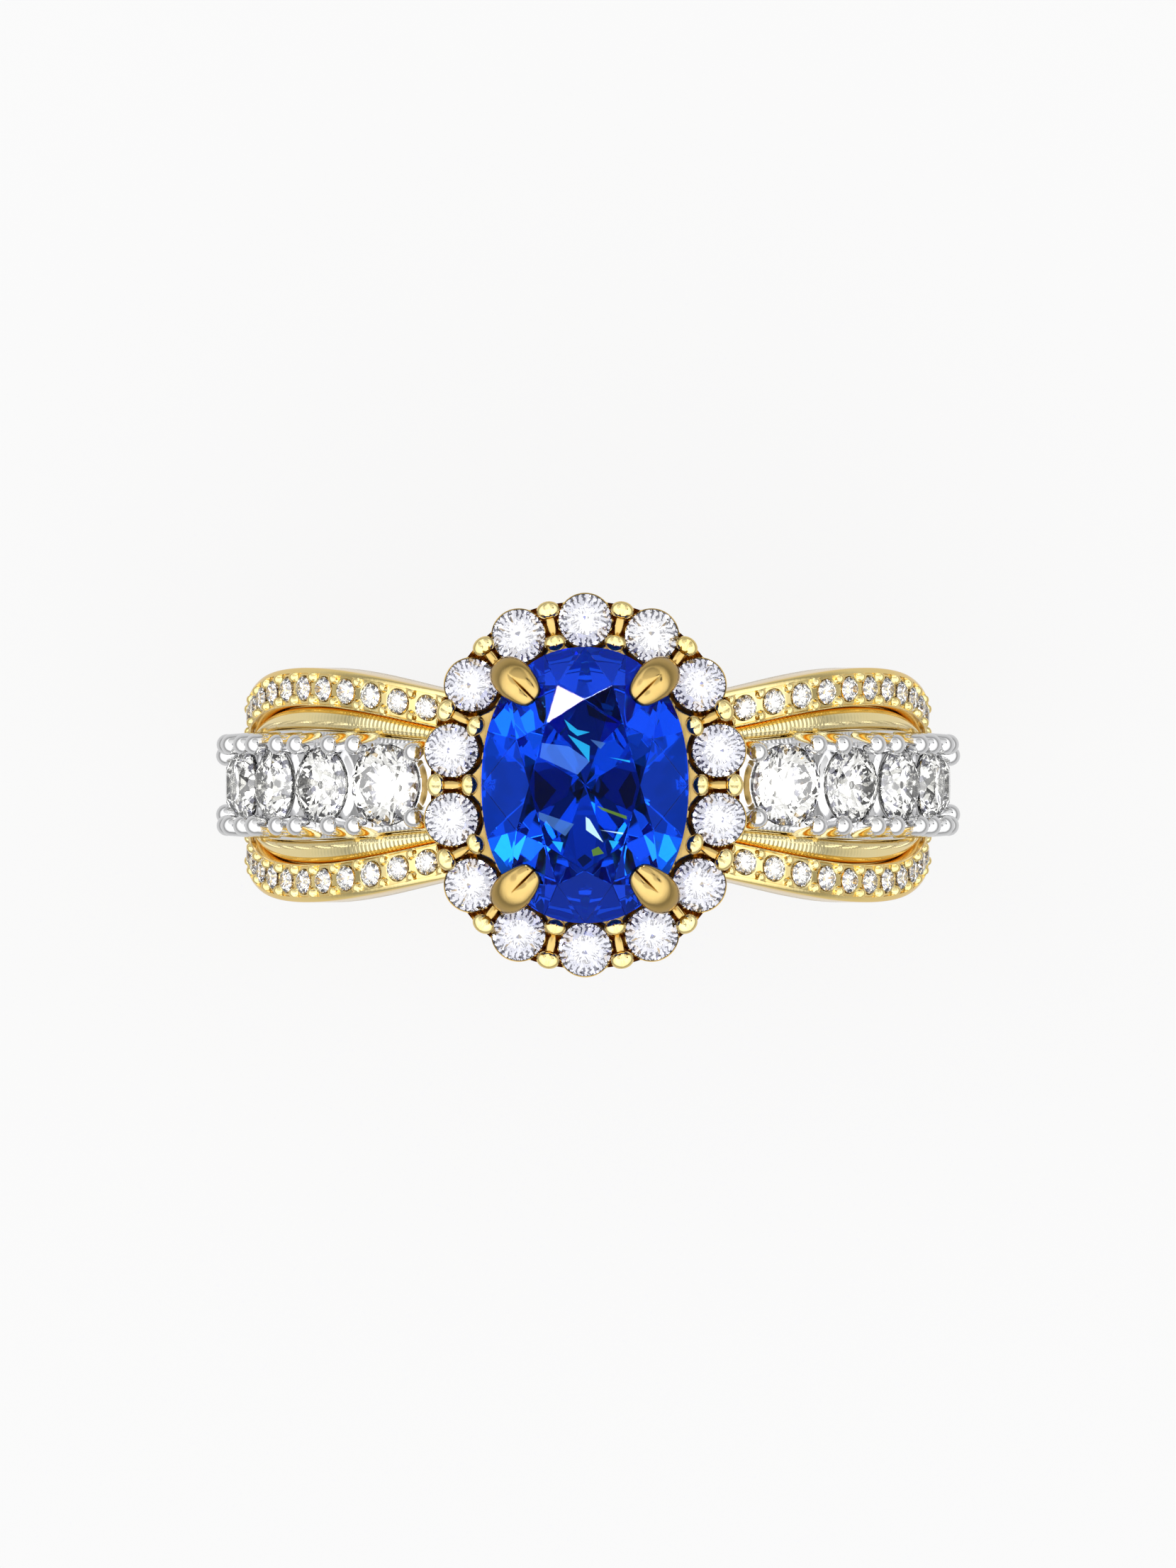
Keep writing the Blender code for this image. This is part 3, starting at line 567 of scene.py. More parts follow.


# Painted reflections and painted shade: flat patches on the table that stand for the facets below it.
PAINTED_TABLE_GLINTS = (  # tone and corners, anticlockwise, of what the table shows of the facets below it
    ("pale", ((-1.30, 0.80), (-0.21, 0.30), (0.15, 0.69), (-0.46, 1.12), (-1.23, 1.22))),
    ("cyan", ((0.13, 0.68), (0.15, 1.13), (-0.49, 1.46))),
    ("cyan", ((-0.44, 1.60), (-0.21, 1.42), (0.15, 1.53), (-0.21, 1.60), (-0.59, 1.90))),
    ("grey", ((0.46, 1.04), (0.60, 1.22), (0.16, 1.32))),
    ("cyan", ((1.31, 0.65), (1.31, 0.71), (0.72, 0.80))),
    ("grey", ((-1.33, -0.97), (-0.56, -1.48), (-0.31, -1.13), (-1.33, -0.78))),
    ("white", ((0.04, -1.30), (0.54, -1.66), (0.14, -0.99), (0.03, -0.92))),
    ("green", ((0.51, -0.73), (1.22, -1.00), (1.22, -0.90), (0.36, -0.60))),
    ("white", ((1.10, -1.43), (1.12, -1.38), (0.44, -1.30))),
    ("green", ((0.20, -1.88), (0.24, -2.06), (0.56, -1.98), (0.40, -1.78))),
    ("cyan", ((0.82, -1.86), (1.00, -1.64), (0.70, -1.60))),
    ("cyan", ((-0.70, -1.95), (-0.62, -1.66), (-0.95, -1.62))),
    ("night", ((0.12, 2.02), (0.55, 1.84), (0.98, 1.78), (0.04, 2.36))),
    ("night", ((-1.45, -0.42), (-1.28, -0.76), (-0.82, -0.15), (-1.46, 0.45))),
    ("night", ((-0.20, -0.46), (0.08, -0.26), (-0.15, 0.24), (-0.46, -0.10))),
    ("night", ((0.17, -0.22), (0.46, -0.41), (0.72, -0.15), (0.41, 0.24))),
    ("night", ((0.98, -0.15), (1.20, -0.70), (1.38, -0.56), (1.50, -0.05), (1.34, 0.40))),
    ("night", ((-0.05, -2.38), (0.22, -2.16), (0.0, -2.0), (-0.22, -2.16))),
)


# Crown facets with painted tones: painted light on side and corner facets, painted reflection on the caps,
# painted shade on one dark facet.
NIGHT_FACET, NIGHT_REACH = (0.64, 2.38), 0.25  # the one dark crown facet
SIDE_ACROSS, SIDE_ALONG = 1.7, 1.3  # from this far across, and up to this far along, a facet is a side one
CORNER_ACROSS = 1.9
CAP_ACROSS, CAP_ALONG = 1.6, 3.0


def facet_tone(middle):
    """The painted tone of the crown facet with its middle at one place."""
    across, along = abs(middle.x), abs(middle.y)
    if (middle - Vector((*NIGHT_FACET, middle.z))).length < NIGHT_REACH:
        return SAPPHIRE_PAINTED_DARK
    if across > SIDE_ACROSS and along < SIDE_ALONG:
        return SAPPHIRE_SIDE_LIGHT
    if across > CORNER_ACROSS and middle.y < 0:
        return SAPPHIRE_CORNER_LIGHT
    if across < CAP_ACROSS and along > CAP_ALONG:
        return SAPPHIRE_CAP_REFLECTION
    return SAPPHIRE


def mark_table(bm, tones):
    """Divides the table into the patches of PAINTED_TABLE_GLINTS, which are painted reflections and painted
    shade; tones lists the stone's materials.
    """
    face = max(bm.faces, key=lambda f: f.normal.z)
    rim = list(face.verts)
    spots = [Vector((v.co.x, v.co.y)) for v in rim]
    patches = [list(range(len(spots)))]
    for _, corners in PAINTED_TABLE_GLINTS:
        patches.append(list(range(len(spots), len(spots) + len(corners))))
        spots += [Vector(corner) for corner in corners]
    inside_only, closeness = 1, 0.0001
    found, _, faces, sources, _, owners = delaunay_2d_cdt(spots, [], patches, inside_only, closeness)
    height = rim[0].co.z
    verts = []
    for spot, source in zip(found, sources):
        old = [k for k in source if k < len(rim)]
        verts.append(rim[old[0]] if old else bm.verts.new((spot.x, spot.y, height)))
    bmesh.ops.delete(bm, geom=[face], context="FACES_ONLY")
    for corners, owner in zip(faces, owners):
        patch = bm.faces.new([verts[k] for k in corners])
        tone = GLINTS[PAINTED_TABLE_GLINTS[max(owner) - 1][0]] if max(owner) else SAPPHIRE_TABLE_SHADE
        patch.material_index = tones.index(tone)


def stone_outline(turn):
    """The centre stone's girdle at a turn that runs evenly, as on an ellipse."""
    direction = atan2(STONE_B * sin(turn), STONE_A * cos(turn))
    return superellipse(STONE_A, STONE_B, STONE_POWER, direction)


def build_centre_stone():
    """The oval sapphire, with a painted tone for each crown facet and for each patch of its table: painted
    light, shade and reflections.
    """
    crown_slope, facet_edge = 0.3, 0.022  # least upward part of a crown facet's normal; its edge's width
    bm = cut_stone(
        stone_outline,
        lambda t: Vector((TABLE_A * cos(t), TABLE_B * sin(t), 0)),
        TABLE_Z, GIRDLE_Z + GIRDLE_THICK, GIRDLE_Z, CULET_Z, star=0.27, lower=0.72, sides=96,
    )
    tones = [SAPPHIRE, SAPPHIRE_TABLE_SHADE, SAPPHIRE_SIDE_LIGHT, SAPPHIRE_CORNER_LIGHT, SAPPHIRE_CAP_REFLECTION, *GLINTS.values()]
    bm.normal_update()
    for face in bm.faces:
        if face.normal.z > crown_slope:
            face.material_index = tones.index(facet_tone(face.calc_center_median()))
    inner = [e for e in bm.edges if len(e.link_faces) == 2]
    crown = [e for e in inner if min(f.normal.z for f in e.link_faces) > crown_slope]
    bmesh.ops.bevel(bm, geom=crown, offset=facet_edge, offset_type="WIDTH", segments=1, affect="EDGES")
    bm.normal_update()
    mark_table(bm, tones)
    stone = finished("sapphire_cut", bm, SAPPHIRE, ("centre_sapphire",), smooth=None)
    for tone in tones[1:]:
        stone.data.materials.append(tone)


# Band


def comfort_edge(edge):
    """The rounded edge of the finger hole, from the bore outwards to a piece's side."""
    turns = steps(-pi / 2, 0.0, 5)[1:]
    return [(edge - COMFORT * (1 - cos(t)), BORE_R + COMFORT * (1 + sin(t))) for t in turns]


def build_shank():
    """The plain lower band, from shoulder to shoulder."""
    dome_power, flat, bow = 0.8, 0.90, 0.02  # bow is how far the finger hole's wall curves out
    rings = []
    for angle in steps(SHOULDER_END, 360 - SHOULDER_END, 121):
        side_angle = 180 - abs(180 - angle)
        half = smooth_value(SHANK_HALF_WIDTH, side_angle)
        top = smooth_value(SHANK_OUTER_R, side_angle)
        dome = smooth_value(SHANK_DOME, side_angle)
        section = [(half * t, BORE_R + bow * t**2) for t in steps(-flat, flat, 9)] + comfort_edge(half)
        for turn in steps(0.0, pi, 25):
            across = copysign(abs(cos(turn)) ** dome_power, cos(turn))
            section.append((half * across, top - dome * (1 - sin(turn))))
        section += [(-y, radius) for y, radius in reversed(comfort_edge(half))]
        rings.append([on_band(1, angle, y, radius) for y, radius in section])
    lofted("shank_body", rings, YELLOW, ("shank",))


def rail_height(angle, aside):
    """Radius of a rail's top at one place: borders, stone seats and the beads between the stones."""
    into_border = abs(aside) - RAIL_BORDER_Y
    if into_border > 0:
        return RAIL_TOP_R + BORDER_SWELL * cos(into_border * BORDER_WAVES)
    nearest = min(max(round((angle - MELEE_FIRST) / MELEE_PITCH), 0), MELEE_COUNT - 1)
    along = radians(angle - MELEE_FIRST - MELEE_PITCH * nearest) * MELEE_GIRDLE_R
    into_seat = max(MELEE_R + STONE_PLAY - hypot(along, aside), 0.0)
    height = max(MELEE_GIRDLE_R - MELEE_SINK - PAVILION_SLOPE * into_seat, MELEE_SEAT_R)
    gap = min(max(round((angle - MELEE_FIRST) / MELEE_PITCH - 0.5), -1), MELEE_COUNT - 1)
    run = radians(angle - MELEE_FIRST - MELEE_PITCH * (gap + 0.5)) * RAIL_TOP_R
    far = hypot(run, abs(aside) - GRIP_Y)
    if far < GRIP_R:
        height = max(height, RAIL_TOP_R - GRIP_SINK + sqrt(GRIP_R**2 - far**2))
    return height


def build_rail(side, face, where):
    """One shoulder edge: a walled rail with a row of seats, a bore and a ledge under the milled wire."""
    rings = []
    acrosses = steps(-RAIL_INNER + RAIL_BEVEL_ACROSS, RAIL_OUTER - RAIL_EDGE, 38)
    for angle in steps(SHOULDER_START, SHOULDER_END - SHOULDER_GAP, 440):
        middle = smooth_value(RAIL_CENTRE_Y, angle)
        foot = smooth_value(CHANNEL_HALF_WIDTH, angle) + GAP
        inner, outer = middle - RAIL_INNER, middle + RAIL_OUTER
        section = [(foot, BORE_R), (outer - COMFORT, BORE_R)] + comfort_edge(outer)
        for turn in steps(0.0, pi / 2, 6)[:-1]:
            drop = RAIL_EDGE * (1 - sin(turn))
            section.append((outer - RAIL_EDGE * (1 - cos(turn)), RAIL_TOP_R - drop))
        for aside in reversed(acrosses):
            section.append((middle + aside, rail_height(angle, aside)))
        section += [(inner, RAIL_TOP_R - RAIL_BEVEL_DOWN), (inner, LEDGE_R), (foot, LEDGE_R)]
        rings.append([on_band(side, angle, face * y, radius) for y, radius in section])
    lofted(f"rail_{where}_body", rings, YELLOW, (f"rail_{where}",), smooth=75.0)


def build_wire(side, face, where):
    """The milled wire beside the white row: rope-like teeth near the head that fade further out."""
    rings = []
    for angle in steps(WIRE_START, WIRE_END, 640):
        low = smooth_value(CHANNEL_HALF_WIDTH, angle) + 2 * GAP
        high = smooth_value(RAIL_CENTRE_Y, angle) - RAIL_INNER - GAP
        arc = radians(angle) * TEETH_R
        fade = min(max((TEETH_GONE - angle) / TEETH_FADE, TEETH_LEAST), 1.0)
        ring = []
        for turn in steps(0.0, pi, 17):
            across = 0.5 - 0.5 * cos(turn)
            tooth = 0.5 + 0.5 * cos(tau * TEETH * (arc + TOOTH_SLANT * across))
            rise = WIRE_HIGH * sin(turn) ** WIRE_POWER * (1 - TOOTH_DEPTH * fade * tooth)
            ring.append(on_band(side, angle, face * (low + (high - low) * across), LEDGE_R + GAP + rise))
        rings.append(ring)
    name, node = f"milgrain_{where}_milled", f"milgrain_wire_{where}"
    # The wire's paler gold is painted light.
    lofted(name, rings, PALE_PAINTED_LIGHT_GOLD, (node,), smooth=60.0)


def build_melee(side, face, where, cut):
    """A rail's small stones, each spun a little further than the last; the first replaces the node."""
    spin = 17.0
    for i in range(MELEE_COUNT):
        angle = MELEE_FIRST + MELEE_PITCH * i
        y = face * smooth_value(RAIL_CENTRE_Y, angle)
        up = on_band(side, angle, 0.0, 1.0)
        place = axis_place(on_band(side, angle, y, MELEE_GIRDLE_R), up)
        node = (f"melee_row_{where}",) if i == 0 else ()
        name = f"melee_{where}_{i + 1:02d}"
        place_stone(name, cut, place, MELEE_R - STONE_PLAY, spin * i, node, DIAMOND_SMALL)


def channel_height(angle, aside):
    """Radius of the white row's top: its seats with raised rims between the prongs."""
    reaches = [hypot(radians(angle - middle) * CHANNEL_TOP_R, aside) - r for middle, r in ROW_STONES]
    past_seat = min(reaches) - GAP
    top = CHANNEL_TOP_R - ROW_RIM_SINK
    if past_seat < 0:
        return max(top + past_seat * PAVILION_SLOPE, CHANNEL_SEAT_R)
    return top - ROW_RIM_DROP * min(past_seat / ROW_RIM_WIDE, 1.0)


def build_channel(side, where):
    """A white row's body: a wide hatched flange with the stones' seats standing on it."""
    rings = []
    for angle in steps(SHOULDER_START, SHOULDER_END - SHOULDER_GAP, 520):
        half = smooth_value(CHANNEL_HALF_WIDTH, angle)
        top_half = min(CHANNEL_TOP_HALF, half - GAP)
        low = FLANGE_R + FLANGE_EDGE
        low += HATCH_DEPTH * cos(tau * HATCH * radians(angle) * HATCH_R)
        edge = [
            (half, FLANGE_R),
            (half - FLANGE_EDGE, low),
            (top_half + FLANGE_EDGE, low + FLANGE_RISE),
            (top_half, FLANGE_R + 2 * FLANGE_EDGE),
        ]
        section = [(-half, BORE_R), (half, BORE_R)] + edge
        section += [(top_half * t, channel_height(angle, top_half * t)) for t in steps(1.0, -1.0, 57)]
        section += [(-y, radius) for y, radius in reversed(edge)]
        rings.append([on_band(side, angle, y, radius) for y, radius in section])
    lofted(f"channel_{where}_body", rings, WHITE, (f"channel_{where}",), smooth=50.0)


def prong_places():
    """Angle and y of each prong on one edge of a row."""
    found = [PRONG_FIRST]
    for gap in ROW_GAPS:
        found += [(gap - PRONG_APART, PRONG_Y), (gap + PRONG_APART, PRONG_Y)]
    return found + [PRONG_LAST]


def build_prongs(side, where):
    """A white row's ball-topped prongs, leaning out from their feet in the row."""
    for face, face_name in FACES:
        for i, (angle, y) in enumerate(prong_places()):
            bm = bmesh.new()
            half = smooth_value(CHANNEL_HALF_WIDTH, angle)
            tip = on_band(side, angle, face * y, PRONG_BEAD_R)
            foot_y = min(half - PRONG_INSET, y + PRONG_SPLAY)
            up = tip - on_band(side, angle, face * foot_y, PRONG_FOOT_R)
            add_pin(bm, axis_place(tip, up), up.length, PRONG_R, PRONG_STEM)
            finished(f"prong_{where}_{face_name}_{i + 1}", bm, WHITE)


def build_row_stones(side, where, cut):
    """A white row's five stones."""
    first_spin, spin = 11.25, 20
    for i, (angle, radius) in enumerate(ROW_STONES):
        up = on_band(side, angle, 0.0, 1.0)
        place = axis_place(on_band(side, angle, 0.0, CHANNEL_TOP_R), up)
        node = f"row_diamond_{where}_{i + 1}"
        place_stone(f"{node}_cut", cut, place, radius, first_spin + spin * i, (node,))


# Head


HALO_CENTRES = evenly_round(HALO_A, HALO_B, HALO_POWER, HALO_COUNT)


def halo_reach(turn):
    """How far the halo's scalloped edge lies from the middle in one direction."""
    ray = heading(turn)
    reach = superellipse(HALO_A, HALO_B, HALO_POWER, turn).length + HALO_WEB
    for centre in HALO_CENTRES:
        along = centre.dot(ray)
        aside = centre.length_squared - along**2
        if along > 0 and aside < HALO_RIM_R**2:
            reach = max(reach, along + sqrt(HALO_RIM_R**2 - aside))
    return reach


def halo_height(spot):
    """Height of the halo plate's top at one place: its seats, their rims and the holes for the claws."""
    past_seat = min((spot - centre).length for centre in HALO_CENTRES) - HALO_STONE_R - GAP
    height = HALO_TOP - HALO_TOP_SINK - HALO_RIM_DROP * min(max(past_seat, 0.0) / HALO_RIM_WIDE, 1.0)
    if past_seat < 0:
        height = max(HALO_TOP - HALO_SEAT_SINK + past_seat * PAVILION_SLOPE, HALO_LOW + HOLE_FLOOR)
    if hypot(abs(spot.x) - CLAW_HOLE_X, abs(spot.y) - CLAW_HOLE_Y) < CLAW_HOLE_R:
        height = min(height, HALO_LOW + HOLE_FLOOR)
    return height


def build_halo():
    """The scalloped plate that holds the halo's stones."""
    rings = []
    for turn in circle(560):
        ray = heading(turn)
        outside = halo_reach(turn)
        inside = superellipse(HALO_INNER_A, HALO_INNER_B, HALO_INNER_POWER, turn).length
        profile = [(inside, HALO_LOW + HALO_FOOT), (inside, HALO_TOP - HALO_LIP)]
        for reach in steps(inside, outside - HALO_SETBACK, 44):
            profile.append((reach, halo_height(ray * reach)))
        profile += [
            (outside, HALO_TOP - HALO_EDGE),
            (outside, HALO_TOP - HALO_RIM_DROP),
            (outside - HALO_TAPER, HALO_LOW + HALO_EDGE),
            (outside - HALO_TAPER - HALO_EDGE, HALO_LOW),
            (inside + HALO_EDGE, HALO_LOW),
        ]
        rings.append([ray * reach + UP * height for reach, height in profile])
    # The plate's darker gold is painted shade between the stones.
    lofted("halo_gallery_plate", rings, RECESS_PAINTED_SHADE_GOLD, ("halo_plate",), closed=True, smooth=50.0)


BRIDGE = (0.13, 0.40, 0.06, 0.5, 0.0)  # half width, half length, height, stem and crease, as add_bead takes
HALO_BEADS = (  # end, reach outwards from the stones' ring, half width, half length, height over the plate
    ("inner", -0.57, 0.32, 0.25, 0.30),
    ("outer", 0.40, 0.34, 0.26, 0.20),
)
BEAD_HIGH, BEAD_STEM, BEAD_CREASE, CREASE_WIDE = 0.20, 0.6, 0.30, 0.055
CLAW_CLEAR = (2.10, 3.10, 0.72)  # x, y and radius of the room that each claw takes
STEM_SHARES = ((0.70, 1.0), (0.85, 0.5), (1.0, 0.0))  # width and depth up a bead's stem
DOME_SHARES = (0.985, 0.93, 0.84, 0.72, 0.58, 0.42, 0.25, 0.08)


def add_bead(bm, place, wide, deep, high, stem, crease):
    """A grip bead with its middle at height 0: an oval dome, creased along its Y axis, on a short stem."""
    turns = circle(28)

    def rim(share):
        return [(wide * share * cos(t), deep * share * sin(t)) for t in turns]

    rings = [[(x, y, -stem * depth) for x, y in rim(share)] for share, depth in STEM_SHARES]
    for share in DOME_SHARES:
        top = high * sqrt(1 - share**2)
        rings.append([(x, y, top * (1 - crease * exp(-((x / CREASE_WIDE) ** 2)))) for x, y in rim(share)])
    add_loft(bm, [[place @ Vector(p) for p in ring] for ring in rings])


def build_halo_beads():
    """Between two stones, a low bridge and a bead at each end of it, unless a claw stands there."""
    x, y, clear = CLAW_CLEAR
    middles = evenly_round(HALO_A, HALO_B, HALO_POWER, HALO_COUNT, offset=0.5)
    for count, middle in enumerate(middles, 1):
        outward = middle.normalized()
        bridge = bmesh.new()
        add_bead(bridge, axis_place(middle + UP * HALO_TOP, UP, outward), *BRIDGE)
        # The bridge's darker satin gold is partly painted shade.
        finished(f"halo_bridge_{count:02d}", bridge, SATIN_SHADED_GOLD)
        for end, reach, wide, deep, height in HALO_BEADS:
            spot = middle + outward * reach
            if hypot(abs(spot.x) - x, abs(spot.y) - y) < clear:
                continue
            bm = bmesh.new()
            place = axis_place(spot + UP * (HALO_TOP + height), UP, outward)
            add_bead(bm, place, wide, deep, BEAD_HIGH, BEAD_STEM, BEAD_CREASE)
            finished(f"halo_bead_{end}_{count:02d}", bm, YELLOW)


def build_halo_stones(cut):
    """The halo's stones, each spun a little further than the one before."""
    first_spin, spin = 10, 13
    for i, centre in enumerate(HALO_CENTRES):
        place = Matrix.Translation((centre.x, centre.y, HALO_TOP + GAP))
        node = f"halo_diamond_{i + 1:02d}"
        turned = first_spin + spin * i
        place_stone(f"{node}_cut", cut, place, HALO_STONE_R - STONE_PLAY, turned, (node,), DIAMOND_COOL)


CLAW_PATH = (  # x, y, z, width and thickness of the right-hand back claw, from its foot to its tip
    (2.26, 2.72, 9.25, 0.60, 0.60),
    (2.22, 2.98, 10.20, 0.60, 0.60),
    (2.24, 3.12, 10.90, 0.62, 0.60),
    (2.36, 3.32, 11.50, 0.86, 0.68),
    (2.28, 3.26, 11.89, 1.08, 0.74),
    (2.06, 3.05, 12.15, 1.16, 0.76),
    (1.79, 2.79, 12.26, 1.03, 0.66),
    (1.58, 2.58, 12.33, 0.80, 0.52),
    (1.48, 2.48, 12.36, 0.54, 0.36),
    (1.44, 2.44, 12.37, 0.20, 0.14),
)
GROOVE_START, GROOVE_GROWS = 0.54, 0.14  # shares of the claw's length
GROOVE = ((0.09, 0.025), (0.13, 0.15))  # depth and half width of its sharp middle and of its soft sides
GROOVE_STEP = 0.035  # radians between the finer points round the groove


def groove_depth(aside):
    """Depth of the groove on a claw's back at a distance from its middle line."""
    (deep, wide), (soft_deep, soft_wide) = GROOVE
    return deep * max(0.0, 1 - abs(aside) / wide) + soft_deep * exp(-abs(aside) / soft_wide)


def build_claw(side, face, where):
    """One claw: from beside the pavilion up past the girdle, then over the crown to a grooved tip."""
    count = 90
    knots = [[(i, row[axis]) for i, row in enumerate(CLAW_PATH)] for axis in range(5)]
    stations = steps(0, len(CLAW_PATH) - 1, count)
    samples = [[smooth_value(knots[axis], at) for axis in range(5)] for at in stations]
    points = [Vector((side * s[0], face * s[1], s[2])) for s in samples]
    across = Vector((-face * sqrt(0.5), side * sqrt(0.5), 0.0))
    crease = [pi / 2 + GROOVE_STEP * k for k in range(-5, 6)]
    around = sorted(crease + [turn for k, turn in enumerate(circle(48)) if abs(k - 12) > 1])
    rings = []
    for i, (_, _, _, width, thickness) in enumerate(samples):
        run = (points[min(i + 1, count - 1)] - points[max(i - 1, 0)]).normalized()
        over = run.cross(across).normalized()
        if over.dot(Vector((side, face, 1.0))) < 0:
            over = -over
        groove = min(max((i / count - GROOVE_START) / GROOVE_GROWS, 0.0), 1.0)
        ring = []
        for t in around:
            aside = width / 2 * cos(t)
            dip = groove * groove_depth(aside) if t < pi else 0.0
            ring.append(points[i] + across * aside + over * (thickness / 2 * sin(t) - dip))
        rings.append(ring)
    # The claw's darker satin gold is partly painted shade; its roughness is real satin.
    lofted(f"claw_{where}_satin", rings, SATIN_SHADED_GOLD, (f"claw_{where}",), smooth=60.0)


def build_gallery():
    """The rounded square rail that follows the finger under the head."""
    corners = [t + pi / 24 for t in circle(24)]
    rings = []
    for turn in circle(160):
        middle = superellipse(GALLERY_A, GALLERY_B, GALLERY_POWER, turn)
        ray = heading(turn)
        ring = []
        for t in corners:
            c, s = cos(t), sin(t)
            across = copysign(abs(c) ** GALLERY_SECTION, c) * GALLERY_HALF
            rise = (copysign(abs(s) ** GALLERY_SECTION, s) + 1) / 2
            spot = middle + ray * across
            radius = BORE_R + (GALLERY_TOP_R - BORE_R) * rise
            ring.append(Vector((spot.x, spot.y, sqrt(radius**2 - spot.x**2))))
        rings.append(ring)
    lofted("gallery_rail_body", rings, YELLOW, ("gallery_rail",), closed=True)


def build_basket():
    """The wire ring inside the claws."""
    rings = []
    for turn in circle(120):
        middle = superellipse(BASKET_A, BASKET_B, BASKET_POWER, turn)
        middle.z = BASKET_Z
        ray = heading(turn)
        wire = [ray * cos(t) + UP * sin(t) for t in circle(14)]
        rings.append([middle + BASKET_WIRE_R * spot for spot in wire])
    lofted("basket_ring_wire", rings, YELLOW, ("basket_ring",), closed=True)


def build_post(face, where):
    """A slim waisted post between the gallery rail and the halo."""
    foot = Vector((0, face * GALLERY_B, POST_FOOT_Z))
    head = Vector((0, face * POST_HEAD_Y, HALO_LOW - GAP))
    rings = []
    for share in steps(0.0, 1.0, 9):
        middle = foot.lerp(head, share)
        wide = POST_R * (1 - POST_WAIST * sin(pi * share))
        rings.append([middle + wide * heading(t) for t in circle(20)])
    lofted(f"gallery_post_{where}_body", rings, YELLOW, (f"gallery_post_{where}",))


# Studio


FLOOR_R, FLOOR_CLEAR = 1500.0, 0.01
FLOOR_TONE, FLOOR_GLOW = (0.16, 0.16, 0.16, 1), 0.762


def build_floor():
    """A plain pale floor that shades softly under the ring; the ring doesn't mirror it."""
    bm = bmesh.new()
    low = cad_box[0][2] / MM - FLOOR_CLEAR
    place = Matrix.Translation((0, 0, low))
    bmesh.ops.create_circle(bm, cap_ends=True, segments=64, radius=FLOOR_R, matrix=place)
    floor = finished("floor", bm, None, smooth=None)
    made, _, shader = new_material("floor_pale")
    set_sockets(shader, {"Base Color": FLOOR_TONE, "Roughness": 1.0, "Specular IOR Level": 0.0})
    set_sockets(shader, {"Emission Color": (1, 1, 1, 1), "Emission Strength": FLOOR_GLOW})
    floor.data.materials.append(made)
    floor.visible_glossy = False
    floor.visible_transmission = False


# The studio's skies as (sine of elevation, brightness), and lamps as (azimuth from +X, elevation, half angle,
# brightness), where a brightness below 0 is a dark card. Metal mirrors one big overhead softbox; the light
# that stones bend and send back comes from panels round a dark middle, where the camera stands.
METAL_SKY = (
    (-1.0, 0.80), (-0.35, 0.70), (-0.08, 0.50), (0.10, 0.32),
    (0.26, 0.85), (0.45, 1.28), (0.75, 1.62), (1.0, 1.76),
)
METAL_LAMPS = ((90.0, 50.0, 32.0, -0.75), (35.0, 55.0, 7.0, -2.2))
STONE_SKY = ((-1.0, 0.12), (-0.10, 0.10), (0.04, 0.40), (0.22, 1.10), (1.0, 1.20))
STONE_LAMPS = (
    (90.0, 78.0, 25.0, -1.07),
    (-75.0, 58.0, 9.0, -0.8),
    (115.0, 37.0, 10.0, 9.0),
    (60.0, 33.0, 9.0, 6.0),
    (-122.0, 42.0, 9.0, 2.6),
    (88.0, -38.0, 12.0, 0.5),
)
DIAMOND_PANEL = (90.0, 78.0, 26.0, 0.80)
ROW_PANELS = ((0.0, 28.0, 34.0, 1.30), (180.0, 28.0, 34.0, 1.30))
GLINT_LAMPS = ((122.7, 49.5, 3.3, 480.0), (102.3, 36.9, 3.5, 260.0), (77.7, 36.9, 3.5, 260.0))
BACKDROP, DARKEST = 0.93, 0.02
SOFT_EDGE = (1.15, 0.85)  # where a lamp's glow starts and is full, in half angles


def toward(azimuth, elevation):
    """The direction of a place in the sky, in degrees."""
    a, e = radians(azimuth), radians(elevation)
    return Vector((cos(e) * cos(a), cos(e) * sin(a), sin(e)))


def sky_brightness(tree, direction, sky, lamps):
    """Brightness of one sky in each direction."""
    parts = tree.nodes.new("ShaderNodeSeparateXYZ")
    tree.links.new(direction, parts.inputs["Vector"])
    share = mapped(tree, parts.outputs["Z"], (-1.0, 1.0))
    top = max(level for _, level in sky)
    stops = [((sine + 1) / 2, (level / top, level / top, level / top, 1)) for sine, level in sky]
    levels = ramp(tree, share, stops)
    total = math_node(tree, "MULTIPLY", levels.outputs["Color"], top)
    for azimuth, elevation, half_angle, gain in lamps:
        facing = tree.nodes.new("ShaderNodeVectorMath")
        facing.operation = "DOT_PRODUCT"
        facing.inputs[1].default_value = toward(azimuth, elevation)
        tree.links.new(direction, facing.inputs[0])
        edge = [cos(radians(half_angle * share)) for share in SOFT_EDGE]
        lamp = mapped(tree, facing.outputs["Value"], edge, (0.0, gain), "SMOOTHSTEP")
        total = math_node(tree, "ADD", total, lamp)
    return math_node(tree, "MAXIMUM", total, DARKEST)


def build_world():
    """The sky: plain to the camera, one for what metal mirrors and one for what stones bend."""
    world = bpy.data.worlds.new("studio")
    scene.world = world
    world.use_nodes = True
    tree = world.node_tree
    direction = tree.nodes.new("ShaderNodeTexCoord").outputs["Generated"]
    light = tree.nodes.new("ShaderNodeLightPath")
    metal_sky = sky_brightness(tree, direction, METAL_SKY, METAL_LAMPS)
    stone_sky = sky_brightness(tree, direction, STONE_SKY, STONE_LAMPS)
    seen = mixed(tree, light.outputs["Is Camera Ray"], metal_sky, BACKDROP, "FLOAT")
    seen = mixed(tree, light.outputs["Is Transmission Ray"], seen, stone_sky, "FLOAT")
    background = tree.nodes["Background"]
    tree.links.new(seen, background.inputs["Strength"])
    background.inputs["Color"].default_value = (1, 1, 1, 1)


PANEL_AWAY = 400.0


